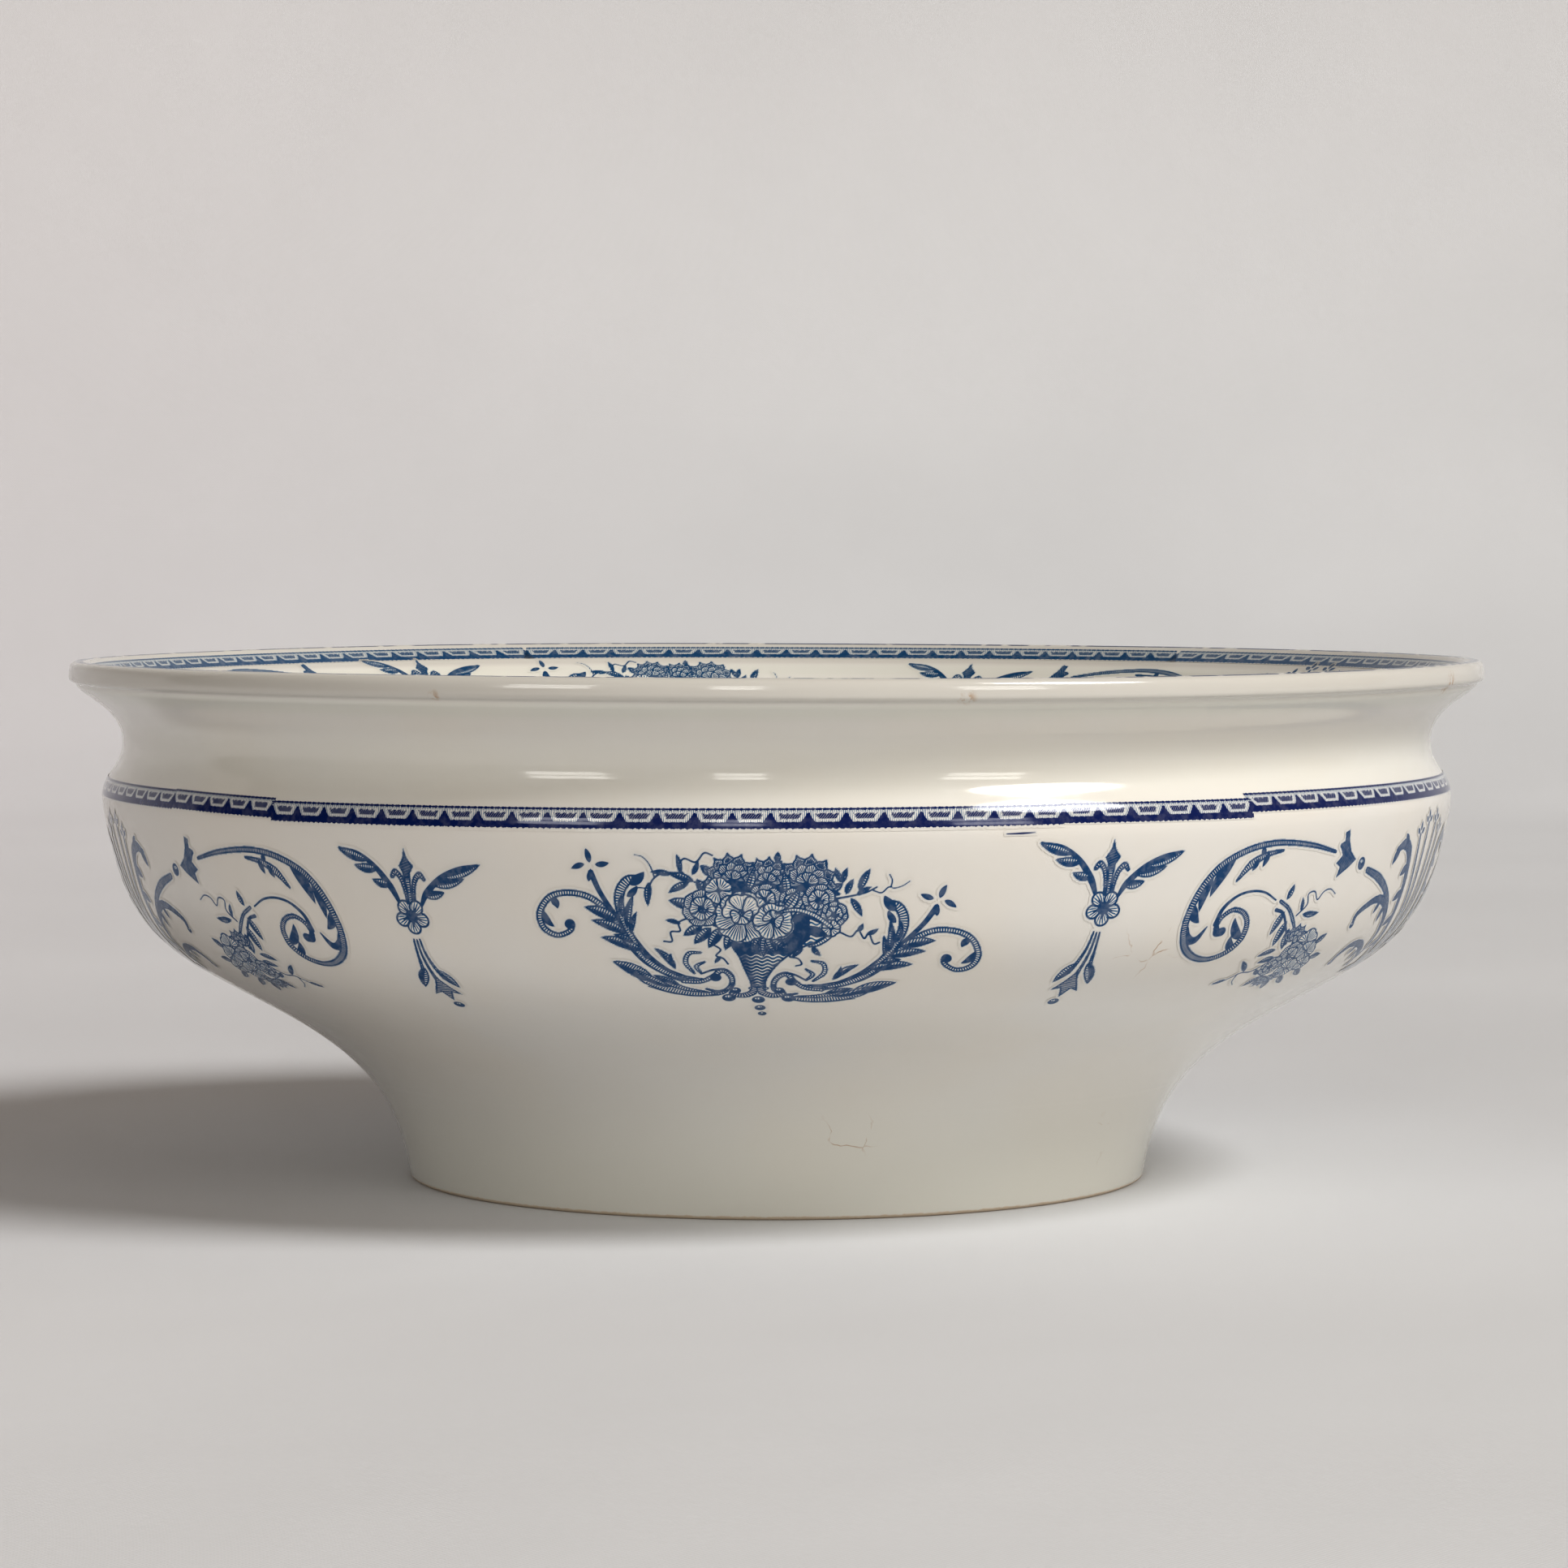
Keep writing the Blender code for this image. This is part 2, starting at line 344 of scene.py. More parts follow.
def throw_form(name: str, section: np.ndarray, turns: int) -> bpy.types.Object:
    """Spins a half section into a closed form.

    Args:
        name: Name of the piece.
        section: Radius and level of each point, in order.
        turns: Steps in the full turn.

    Returns:
        The closed, smooth piece.
    """
    deselect()
    first = (section[0][0], 0.0, section[0][1])
    bpy.ops.mesh.primitive_plane_add(size=MM, location=(0.0, 0.0, 0.0))
    piece = bpy.context.object
    piece.name = piece.data.name = name
    bpy.ops.object.mode_set(mode="EDIT")
    bpy.ops.mesh.select_mode(type="VERT")
    bpy.ops.mesh.select_all(action="SELECT")
    bpy.ops.mesh.merge(type="CENTER")
    bpy.ops.transform.translate(value=first)
    here = np.array(first)
    for radius, level in section[1:]:
        there = np.array([radius, 0.0, level])
        bpy.ops.mesh.extrude_region_move(TRANSFORM_OT_translate={"value": tuple(there - here)})
        here = there
    bpy.ops.mesh.select_all(action="SELECT")
    bpy.ops.mesh.spin(steps=turns, angle=math.tau, center=(0.0, 0.0, 0.0), axis=(0.0, 0.0, 1.0))
    bpy.ops.mesh.select_all(action="SELECT")
    bpy.ops.mesh.remove_doubles(threshold=WELD)
    bpy.ops.mesh.normals_make_consistent(inside=False)
    bpy.ops.object.mode_set(mode="OBJECT")
    bpy.ops.object.shade_smooth_by_angle(angle=SMOOTH_BELOW)
    return piece


# ---------------------------------------------------------------------------------------------
# Shader graphs


class Sum:
    """A number in a shader graph, on which Python's operators add Math nodes."""

    def __init__(self, graph: "Graph", socket: bpy.types.NodeSocket) -> None:
        """Wraps a socket of a graph."""
        self.graph = graph
        self.socket = socket

    def _math(self, operation: str, *values: "Sum | float") -> "Sum":
        """Adds one Math node."""
        return Sum(self.graph, self.graph.node("ShaderNodeMath", {"operation": operation},
                                               dict(enumerate(values))).outputs[0])

    def __add__(self, other: "Sum | float") -> "Sum":
        """Sum of the two."""
        return self._math("ADD", self, other)

    __radd__ = __add__

    def __mul__(self, other: "Sum | float") -> "Sum":
        """Product of the two."""
        return self._math("MULTIPLY", self, other)

    __rmul__ = __mul__

    def __sub__(self, other: "Sum | float") -> "Sum":
        """This minus the other."""
        return self._math("SUBTRACT", self, other)

    def __rsub__(self, other: float) -> "Sum":
        """A number minus this."""
        return self._math("SUBTRACT", other, self)

    def __pow__(self, other: float) -> "Sum":
        """This to a power."""
        return self._math("POWER", self, other)

    def __abs__(self) -> "Sum":
        """This without its sign."""
        return self._math("ABSOLUTE", self)

    def sine(self) -> "Sum":
        """Sine of this, in radians."""
        return self._math("SINE", self)

    def most(self, other: "Sum | float") -> "Sum":
        """The larger of the two."""
        return self._math("MAXIMUM", self, other)

    def step(self, low: float, high: float, out_low: float = 0.0, out_high: float = 1.0) -> "Sum":
        """A smooth step of this from one value to another.

        Args:
            low: Where the step starts.
            high: Where the step ends.
            out_low: Value before the step.
            out_high: Value after the step.

        Returns:
            The stepped number.
        """
        values = {0: self, 1: low, 2: high, 3: out_low, 4: out_high}
        made = self.graph.node("ShaderNodeMapRange", {"interpolation_type": "SMOOTHSTEP"}, values)
        return Sum(self.graph, made.outputs[0])


class Graph:
    """Builds one material's nodes."""

    def __init__(self, name: str) -> None:
        """Starts a material with its shader and output.

        Args:
            name: Name of the material.
        """
        self.material = bpy.data.materials.new(name)
        self.material.use_nodes = True
        self.tree = self.material.node_tree
        self.shader = self.tree.nodes["Principled BSDF"]

    def node(self, kind: str, settings: dict | None = None, values: dict | None = None) -> bpy.types.Node:
        """Adds one node.

        Args:
            kind: The node's type.
            settings: Properties, set before any value.
            values: Numbers, Sums or sockets by input name or index.

        Returns:
            The node.
        """
        made = self.tree.nodes.new(kind)
        for key, value in (settings or {}).items():
            if key == "stops":
                ramp = made.color_ramp
                while len(ramp.elements) < len(value):
                    ramp.elements.new(0.5)
                for element, (place, colour) in zip(ramp.elements, value):
                    element.position = place
                    element.color = (*colour, 1.0)
            else:
                setattr(made, key, value)
        for key, value in (values or {}).items():
            self.feed(made.inputs[key], value)
        return made

    def feed(self, socket: bpy.types.NodeSocket, value: object) -> None:
        """Links or sets one input.

        Args:
            socket: The input.
            value: A number, a colour, a Sum or a socket.
        """
        if isinstance(value, Sum):
            value = value.socket
        if isinstance(value, bpy.types.NodeSocket):
            self.tree.links.new(value, socket)
        else:
            socket.default_value = value

    def sum(self, socket: bpy.types.NodeSocket) -> Sum:
        """Wraps a socket for Python's operators."""
        return Sum(self, socket)

    def place(self) -> bpy.types.NodeSocket:
        """The point on the piece, in metres."""
        return self.node("ShaderNodeTexCoord").outputs["Object"]

    def noise(self, place: bpy.types.NodeSocket, scale: float, detail: float = 2.0,
              roughness: float = 0.5) -> Sum:
        """Cloudy noise over a place.

        Args:
            place: Where it is read.
            scale: How fine it is.
            detail: Octaves of it.
            roughness: Strength of the finer octaves.

        Returns:
            The noise, about 0.5 in the middle.
        """
        made = self.node("ShaderNodeTexNoise", {}, {"Vector": place, "Scale": scale, "Detail": detail,
                                                    "Roughness": roughness})
        return self.sum(made.outputs["Fac"])

    def mix(self, factor: Sum | float, first: object, second: object) -> bpy.types.NodeSocket:
        """Mixes two colours.

        Args:
            factor: Share of the second.
            first: A colour or its socket.
            second: A colour or its socket.

        Returns:
            The mixed colour's socket.
        """
        made = self.node("ShaderNodeMix", {"data_type": "RGBA"}, {0: factor})
        for socket, value in ((made.inputs[6], first), (made.inputs[7], second)):
            self.feed(socket, (*value, 1.0) if isinstance(value, tuple) else value)
        return made.outputs[2]

    def near(self, place: bpy.types.NodeSocket, spots: tuple["Spot", ...]) -> Sum:
        """One at each of some spots, falling to nothing at its reach.

        Args:
            place: Where it is read.
            spots: The spots.

        Returns:
            The largest value of any spot.
        """
        total = self.near_one(place, spots[0])
        for spot in spots[1:]:
            total = total.most(self.near_one(place, spot))
        return total

    def near_one(self, place: bpy.types.NodeSocket, spot: "Spot") -> Sum:
        """One at a spot, falling to nothing at its reach."""
        gap = self.node("ShaderNodeVectorMath", {"operation": "DISTANCE"}, {0: place, 1: spot.centre()})
        return self.sum(gap.outputs["Value"]).step(spot.reach, 0.0)


@dataclass(frozen=True)
class Spot:
    """A place on the wall that wear has marked."""

    angle: float
    radius: float
    level: float
    reach: float

    def centre(self) -> tuple[float, float, float]:
        """The spot's place in metres."""
        turn = math.radians(self.angle)
        return (self.radius * math.sin(turn), -self.radius * math.cos(turn), self.level)


@dataclass(frozen=True)
class Glaze:
    """A milky lead glaze over white clay, with age in it, and painted shade on the rim's bead. Levels and
    radii are in millimetres.
    """

    ivory: Colour = (0.772, 0.758, 0.724)
    pooled: Colour = (0.707, 0.716, 0.652)
    warm: Colour = (0.777, 0.751, 0.700)
    # painted shade: the darker grey laid over the rim's bead
    painted_lip_shade: Colour = (0.64, 0.625, 0.585)
    crest: Colour = (0.012, 0.045, 0.125)
    clay: Colour = (0.62, 0.53, 0.42)
    rust: Colour = (0.42, 0.25, 0.12)
    speck: Colour = (0.10, 0.085, 0.075)
    gloss: float = 0.09
    dulled: float = 0.07
    specular: float = 0.36
    coat: float = 0.15
    coat_roughness: float = 0.03
    index: float = 1.5
    bump: float = 0.35
    lip_shade_from: float = 94.2
    lip_shade_full: float = 95.4
    crease_level: float = 93.4
    neck_level: float = 83.0
    pool_top: float = 34.0
    pool_full: float = 2.0
    crest_radius: float = 132.9
    crest_from: float = 98.0
    crest_full: float = 98.4
    bare_below: float = 0.75
    stain_strength: float = 0.85
    hairline_strength: float = 0.9
    speck_strength: float = 0.75
    stains: tuple[Spot, ...] = (
        Spot(-25.3, 134.6 * MM, 95.6 * MM, 1.5 * MM), Spot(13.6, 134.8 * MM, 95.4 * MM, 2.1 * MM),
        Spot(65.0, 134.6 * MM, 95.4 * MM, 3.4 * MM), Spot(164.0, 134.6 * MM, 95.6 * MM, 2.4 * MM),
        Spot(251.0, 134.7 * MM, 95.4 * MM, 1.8 * MM))
    hairlines: tuple[Spot, ...] = (
        Spot(9.2, 75.8 * MM, 15.6 * MM, 7.5 * MM), Spot(51.5, 73.4 * MM, 10.7 * MM, 8.0 * MM),
        Spot(31.5, 122.0 * MM, 52.0 * MM, 9.0 * MM), Spot(200.0, 88.0 * MM, 28.0 * MM, 11.0 * MM),
        Spot(118.0, 120.0 * MM, 50.0 * MM, 9.0 * MM))

    def surface(self, graph: Graph) -> tuple[bpy.types.NodeSocket, Sum, Sum]:
        """Colour, roughness and height of the glaze at any place on the bowl.

        Args:
            graph: The material to add it to.

        Returns:
            The colour's socket, the roughness and the height in millimetres.
        """
        place = graph.place()
        split = graph.node("ShaderNodeSeparateXYZ", {}, {0: place})
        across, away, level = (graph.sum(axis) * (1.0 / MM) for axis in split.outputs)
        radius = (across * across + away * away) ** 0.5
        cloud = graph.noise(place, 22.0, 3.0)
        colour = graph.mix(cloud.step(0.38, 0.68), self.ivory, self.warm)
        crease = (1.0 - abs(level - self.crease_level).step(0.3, 2.4)) * 0.55
        neck = (1.0 - abs(level - self.neck_level).step(1.0, 9.0)) * 0.35
        low = (1.0 - level.step(self.pool_full, self.pool_top)) * 0.55
        colour = graph.mix(crease.most(neck).most(low), colour, self.pooled)
        # painted shade: the rim's bead, above a set level, is mixed towards a darker grey
        colour = graph.mix(level.step(self.lip_shade_from, self.lip_shade_full), colour, self.painted_lip_shade)
        line = 1.0 - abs(radius - self.crest_radius).step(0.62, 0.80)
        line = line * level.step(self.crest_from, self.crest_full)
        line = line * graph.noise(place, 260.0, 2.0).step(0.36, 0.5)
        colour = graph.mix(line, colour, self.crest)
        worn = self._stains(graph, place)
        colour = graph.mix(worn, colour, self.rust)
        colour = graph.mix(self._hairlines(graph, place), colour, self.rust)
        colour = graph.mix(self._specks(graph, place), colour, self.speck)
        ragged = level + graph.noise(place, 900.0) * 0.5
        bare = 1.0 - ragged.step(self.bare_below, self.bare_below + 0.3)
        colour = graph.mix(bare, colour, self.clay)
        rough = graph.noise(place, 320.0, 3.0).step(0.45, 0.8, self.gloss, self.gloss + self.dulled)
        rough = rough + bare * 0.6 + worn * 0.1
        height = graph.noise(place, 55.0, 1.0) * 0.16 + graph.noise(place, 420.0, 1.0) * 0.006
        return colour, rough, height

    def _stains(self, graph: Graph, place: bpy.types.NodeSocket) -> Sum:
        """Brown stain where the rim's edge has been knocked.

        Args:
            graph: The material.
            place: Where it is read.

        Returns:
            How stained each place is.
        """
        grain = graph.noise(place, 900.0, 3.0).step(0.42, 0.62)
        return graph.near(place, self.stains) * grain * self.stain_strength

    def _hairlines(self, graph: Graph, place: bpy.types.NodeSocket) -> Sum:
        """Fine stained cracks in the glaze.

        Args:
            graph: The material.
            place: Where it is read.

        Returns:
            How dark the cracks are at each place.
        """
        bend = graph.node("ShaderNodeTexNoise", {}, {"Vector": place, "Scale": 140.0, "Detail": 3.0})
        shift = graph.node("ShaderNodeVectorMath", {"operation": "SCALE"},
                           {0: bend.outputs["Color"], "Scale": 0.008})
        bent = graph.node("ShaderNodeVectorMath", {"operation": "ADD"},
                          {0: place, 1: shift.outputs["Vector"]})
        cells = graph.node("ShaderNodeTexVoronoi", {"feature": "DISTANCE_TO_EDGE"},
                           {"Vector": bent.outputs["Vector"], "Scale": 105.0})
        crack = 1.0 - graph.sum(cells.outputs["Distance"]).step(0.004, 0.022)
        patchy = graph.noise(place, 260.0, 2.0).step(0.44, 0.62)
        return crack * patchy * graph.near(place, self.hairlines) * self.hairline_strength

    def _specks(self, graph: Graph, place: bpy.types.NodeSocket) -> Sum:
        """Dark kiln specks, few and small.

        Args:
            graph: The material.
            place: Where it is read.

        Returns:
            How dark the specks are at each place.
        """
        cells = graph.node("ShaderNodeTexVoronoi", {}, {"Vector": place, "Scale": 110.0})
        chosen = graph.node("ShaderNodeSeparateColor", {}, {0: cells.outputs["Color"]})
        rare = graph.sum(chosen.outputs[0]).step(0.80, 0.81)
        size = graph.sum(chosen.outputs[1]) * 0.012 + 0.010
        dot = (size - graph.sum(cells.outputs["Distance"])).step(0.0, 0.008)
        return rare * dot * self.speck_strength

    def dress(self, graph: Graph, colour: bpy.types.NodeSocket, rough: Sum, height: Sum) -> None:
        """Feeds the shader of a glazed material.

        Args:
            graph: The material.
            colour: Its colour.
            rough: Its roughness.
            height: Its height in millimetres.
        """
        bump = graph.node("ShaderNodeBump", {}, {"Strength": self.bump, "Distance": MM, "Height": height})
        shader = graph.shader
        graph.feed(shader.inputs["Base Color"], colour)
        graph.feed(shader.inputs["Roughness"], rough)
        graph.feed(shader.inputs["Normal"], bump.outputs["Normal"])
        shader.inputs["IOR"].default_value = self.index
        shader.inputs["Specular IOR Level"].default_value = self.specular
        shader.inputs["Coat Weight"].default_value = self.coat
        shader.inputs["Coat Roughness"].default_value = self.coat_roughness

    def material(self) -> bpy.types.Material:
        """The plain glazed clay.

        Returns:
            The material.
        """
        graph = Graph("ivory_glaze_over_clay")
        self.dress(graph, *self.surface(graph))
        return graph.material


@dataclass(frozen=True)
class Ink:
    """Cobalt printed under the glaze."""

    name: str
    full: Colour
    thin: Colour
    starved: float = 0.12
    cut_edge: tuple[float, float] = (0.39, 0.53)
    hatch_edge: tuple[float, float] = (-0.12, 0.14)
    grain: float = 0.35
    bleed: float = 0.12

    def material(self, glaze: Glaze) -> bpy.types.Material:
        """Ink where the plate was engraved, the bowl's own glaze everywhere else.

        Args:
            glaze: The glaze that covers it.

        Returns:
            The material.
        """
        graph = Graph(self.name)
        colour, rough, height = glaze.surface(graph)
        print_ = graph.node("ShaderNodeAttribute", {"attribute_name": "engraving"})
        parts = graph.node("ShaderNodeSeparateColor", {}, {0: print_.outputs["Color"]})
        line, tone, phase = (graph.sum(parts.outputs[i]) for i in range(3))
        place = graph.place()
        grain = graph.noise(place, 2600.0, 2.0)
        cut = line.step(*self.cut_edge)
        wave = (phase * math.tau).sine() * 0.5 + 0.5
        hatch = (tone + (grain - 0.5) * self.grain - wave).step(*self.hatch_edge) * tone.step(0.0, 0.12)
        starve = graph.noise(place, 700.0, 3.0).step(0.30, 0.60, 1.0 - self.starved, 1.0)
        cover = cut.most(hatch.most(tone.step(0.8, 1.0))) * starve
        bleed = line.step(0.0, 0.4) * self.bleed
        cobalt = graph.mix(tone.step(0.25, 1.0).most(cut), self.thin, self.full)
        colour = graph.mix(cover.most(bleed), colour, cobalt)
        glaze.dress(graph, colour, rough, height)
        return graph.material


# ---------------------------------------------------------------------------------------------
# Engraving


@dataclass
class Plate:
    """A flat copper plate: how deep each point is cut, and how it is hatched."""

    u: np.ndarray
    v: np.ndarray
    line: np.ndarray = field(init=False)
    tone: np.ndarray = field(init=False)
    phase: np.ndarray = field(init=False)
    soft: float = 0.4

    def __post_init__(self) -> None:
        """Starts with a blank plate."""
        self.line = np.zeros_like(self.u)
        self.tone = np.zeros_like(self.u)
        self.phase = np.zeros_like(self.u)

    def window(self, points: np.ndarray, reach: float) -> tuple[slice, slice]:
        """Rows and columns of the plate near some points.

        Args:
            points: The points, one row each.
            reach: How far round them to look.

        Returns:
            The rows and the columns, empty where the points are off the plate.
        """
        low = points.min(axis=0) - reach - self.soft
        high = points.max(axis=0) + reach + self.soft
        columns = np.flatnonzero((self.u[0] >= low[0]) & (self.u[0] <= high[0]))
        rows = np.flatnonzero((self.v[:, 0] >= low[1]) & (self.v[:, 0] <= high[1]))
        if not len(columns) or not len(rows):
            return slice(0, 0), slice(0, 0)
        return slice(rows[0], rows[-1] + 1), slice(columns[0], columns[-1] + 1)

    def edge(self, gap: np.ndarray) -> np.ndarray:
        """A gap in millimetres as a value from 0 to 1, with 0.5 on the edge."""
        return np.clip(0.5 - gap / (2 * self.soft), 0.0, 1.0)


@dataclass(frozen=True)
class Burin:
    """The engraver's tool on one plate, which can work turned or mirrored.

    Every method draws in millimetres. Dark is cut solid, tone is hatched.
    """

    plate: Plate
    matrix: np.ndarray = field(default_factory=lambda: np.eye(3))
    pitch: float = 0.46
    overlap: float = 0.05

    def moved(self, shift: tuple[float, float] = (0.0, 0.0), turn: float = 0.0,
              mirror: bool = False) -> "Burin":
        """The same tool in a new place.

        Args:
            shift: Where its origin goes.
            turn: Degrees, clockwise on the plate.
            mirror: Whether left and right change places.

        Returns:
            The moved tool.
        """
        c, s = math.cos(math.radians(turn)), math.sin(math.radians(turn))
        flip = np.diag([-1.0 if mirror else 1.0, 1.0, 1.0])
        move = np.array([[c, -s, shift[0]], [s, c, shift[1]], [0, 0, 1]])
        return Burin(self.plate, self.matrix @ move @ flip)

    def put(self, points: object) -> np.ndarray:
        """Points of this tool on the plate."""
        given = np.asarray(points, float)
        return given @ self.matrix[:2, :2].T + self.matrix[:2, 2]

    def line_gap(self, path: np.ndarray, half: np.ndarray) -> tuple:
        """Gap to a line of changing width.

        Args:
            path: Points on the plate that the line passes.
            half: Half its width at each of them.

        Returns:
            The part of the plate near the line, and there the gap and the run along the line.
        """
        near = self.plate.window(path, float(half.max()))
        u, v = self.plate.u[near], self.plate.v[near]
        gap = np.full(u.shape, FAR)
        run = np.zeros(u.shape)
        travelled = 0.0
        for a, b, width_a, width_b in zip(path, path[1:], half, half[1:]):
            way = b - a
            long = float(way @ way) + 1e-9
            t = np.clip(((u - a[0]) * way[0] + (v - a[1]) * way[1]) / long, 0.0, 1.0)
            here = np.hypot(u - a[0] - t * way[0], v - a[1] - t * way[1])
            here -= width_a + (width_b - width_a) * t
            closer = here < gap
            gap = np.where(closer, here, gap)
            run = np.where(closer, travelled + t * math.sqrt(long), run)
            travelled += math.sqrt(long)
        return near, gap, run

    def outline_gap(self, outline: np.ndarray) -> tuple:
        """Signed gap to a closed outline.

        Args:
            outline: Its corners on the plate.

        Returns:
            The part of the plate near it, and there the gap, negative inside.
        """
        near = self.plate.window(outline, 0.0)
        u, v = self.plate.u[near], self.plate.v[near]
        gap = np.full(u.shape, FAR)
        inside = np.zeros(u.shape, bool)
        for a, b in zip(outline, np.roll(outline, -1, axis=0)):
            way = b - a
            t = np.clip(((u - a[0]) * way[0] + (v - a[1]) * way[1]) / (float(way @ way) + 1e-9), 0.0, 1.0)
            gap = np.minimum(gap, np.hypot(u - a[0] - t * way[0], v - a[1] - t * way[1]))
            if a[1] != b[1]:
                crosses = (v < max(a[1], b[1])) & (v >= min(a[1], b[1]))
                inside ^= crosses & (u < a[0] + (v - a[1]) / (b[1] - a[1]) * way[0])
        return near, np.where(inside, -gap, gap)

    def cut(self, near: tuple, gap: np.ndarray) -> None:
        """Cuts solid ink where a gap is negative."""
        self.plate.line[near] = np.maximum(self.plate.line[near], self.plate.edge(gap))

    def burnish(self, near: tuple, gap: np.ndarray) -> None:
        """Rubs the plate blank again where a gap is negative."""
        self.plate.line[near] = np.minimum(self.plate.line[near], 1.0 - self.plate.edge(gap))
        self.plate.tone[near] = np.where(gap < 0, 0.0, self.plate.tone[near])

    def hatch(self, near: tuple, gap: np.ndarray, tone: np.ndarray | float,
              phase: np.ndarray) -> None:
        """Lays tone inside a shape.

        Args:
            near: The part of the plate near the shape.
            gap: Gap to the shape's outline there.
            tone: How dark the hatching is.
            phase: Which line of the hatching each point is on.
        """
        inside = gap < self.overlap
        self.plate.tone[near] = np.where(inside, tone, self.plate.tone[near])
        self.plate.phase[near] = np.where(inside, phase, self.plate.phase[near])

    def stroke(self, points: list, width: tuple | float = 0.3, curved: bool = True) -> None:
        """A solid line that may swell and taper.

        Args:
            points: The points it passes.
            width: One width, or widths spread evenly along it.
            curved: Whether it is smoothed.
        """
        path = self.put(smooth(points) if curved and len(points) > 2 else points)
        near, gap, _ = self.line_gap(path, half_widths(width, len(path)))
        self.cut(near, gap)

    def ribbon(self, points: list, width: tuple | float, tone: float = 0.6, rim: float = 0.28) -> None:
        """A band with dark edges and a hatched middle.

        Args:
            points: The points that its middle passes.
            width: One width, or widths spread evenly along it.
            tone: How dark the middle is.
            rim: Thickness of its edges.
        """
        path = self.put(smooth(points))
        near, gap, run = self.line_gap(path, half_widths(width, len(path)))
        self.burnish(near, gap)
        self.hatch(near, gap, tone, run / self.pitch)
        self.cut(near, np.abs(gap + rim / 2) - rim / 2)

    def shape(self, outline: list | np.ndarray, tone: float = 0.5, rim: float = 0.26,
              heart: tuple[float, float] | None = None, fade: float = 3.0, angle: float = 35.0,
              curved: bool = True, halo: float = 0.0) -> None:
        """A closed shape with a dark edge and hatching that may fade from one point.

        Args:
            outline: Its corner points.
            tone: How dark the hatching is, at its darkest.
            rim: Thickness of its edge.
            heart: Where the hatching is darkest, or None where it is even.
            fade: Distance from the heart at which it has faded away.
            angle: Direction of the hatching in degrees.
            curved: Whether the outline is smoothed.
            halo: Width of the paler margin inside its edge.
        """
        line = self.put(smooth(outline, 4, closed=True) if curved else outline)
        near, gap = self.outline_gap(line)
        u, v = self.plate.u[near], self.plate.v[near]
        self.burnish(near, gap)
        shade: np.ndarray | float = tone
        turn = math.radians(angle)
        phase = (u * math.cos(turn) + v * math.sin(turn)) / self.pitch
        if heart is not None:
            centre = self.put(heart)
            away = np.hypot(u - centre[0], v - centre[1])
            spokes = max(round(fade * 0.5 * math.tau / self.pitch), 12)
            shade = np.clip(tone * (1.12 - away / fade), 0.0, 1.0)
            phase = np.arctan2(v - centre[1], u - centre[0]) / math.tau * spokes + 0.2 * away
        if halo:
            shade = np.where(gap > -rim - halo, shade * np.float64(0.4), shade)
        self.hatch(near, gap, shade, phase)
        self.cut(near, np.abs(gap + rim / 2) - rim / 2)

    def leaf(self, base: tuple, tip: tuple, width: float, bend: float = 0.0, tone: float = 0.7,
             dark: bool = False) -> None:
        """A pointed leaf, darker along one side.

        Args:
            base: Where it leaves its stem.
            tip: Its point.
            width: Its width.
            bend: How far its middle is pushed aside, as a share of its length.
            tone: How dark its hatching is.
            dark: Whether it is cut solid all over.
        """
        start, end = np.array(base, float), np.array(tip, float)
        way = end - start
        side = np.array([-way[1], way[0]])
        middle = (start + end) / 2 + side * bend
        t = np.linspace(0.0, 1.0, 12)[:, None]
        axis = start * (1 - t) ** 2 + middle * 2 * t * (1 - t) + end * t**2
        way_at = np.gradient(axis, axis=0)
        normal = np.stack([-way_at[:, 1], way_at[:, 0]], axis=1)
        normal /= np.hypot(normal[:, 0], normal[:, 1])[:, None]
        half = width * 0.5 * np.sin(math.pi * t**0.85) ** 0.8
        outline = np.vstack([axis + normal * half, (axis - normal * half)[-2:0:-1]])
        if dark:
            near, gap = self.outline_gap(self.put(outline))
            self.cut(near, gap)
            return
        self.shape(outline, tone * 0.8, 0.24, angle=math.degrees(math.atan2(way[1], way[0])), curved=False)
        shadow = np.vstack([axis, (axis - normal * half)[::-1]])
        near, gap = self.outline_gap(self.put(shadow))
        self.plate.tone[near] = np.where(gap < 0, np.clip(tone * 1.5, 0, 1), self.plate.tone[near])
        self.stroke(list(axis[1:-2]), (0.24, 0.16), curved=False)

    def leaves(self, rows: tuple, bend: float = 0.0, tone: float = 0.7, dark: bool = False) -> None:
        """Several leaves of one kind.

        Args:
            rows: Base, tip and width of each leaf.
            bend: How far their middles are pushed aside, as a share of their length.
            tone: How dark their hatching is.
            dark: Whether they are cut solid all over.
        """
        for base, tip, width in rows:
            self.leaf(base, tip, width, bend, tone, dark)

    def bead(self, centre: tuple, radius: float) -> None:
        """A round bead with a catch of light.

        Args:
            centre: Its middle.
            radius: Its radius.
        """
        angles = np.linspace(0, math.tau, 20, endpoint=False)
        ring = np.stack([np.cos(angles), np.sin(angles)], axis=1)
        near, gap = self.outline_gap(self.put(np.array(centre) + ring * radius))
        self.cut(near, gap)
        glint = np.array(centre) + np.array([-0.12, -0.34]) * radius
        near, gap = self.outline_gap(self.put(glint + ring * radius * np.array([0.5, 0.3])))
        self.burnish(near, gap)
        self.hatch(near, gap, 0.45, self.plate.u[near] / self.pitch)

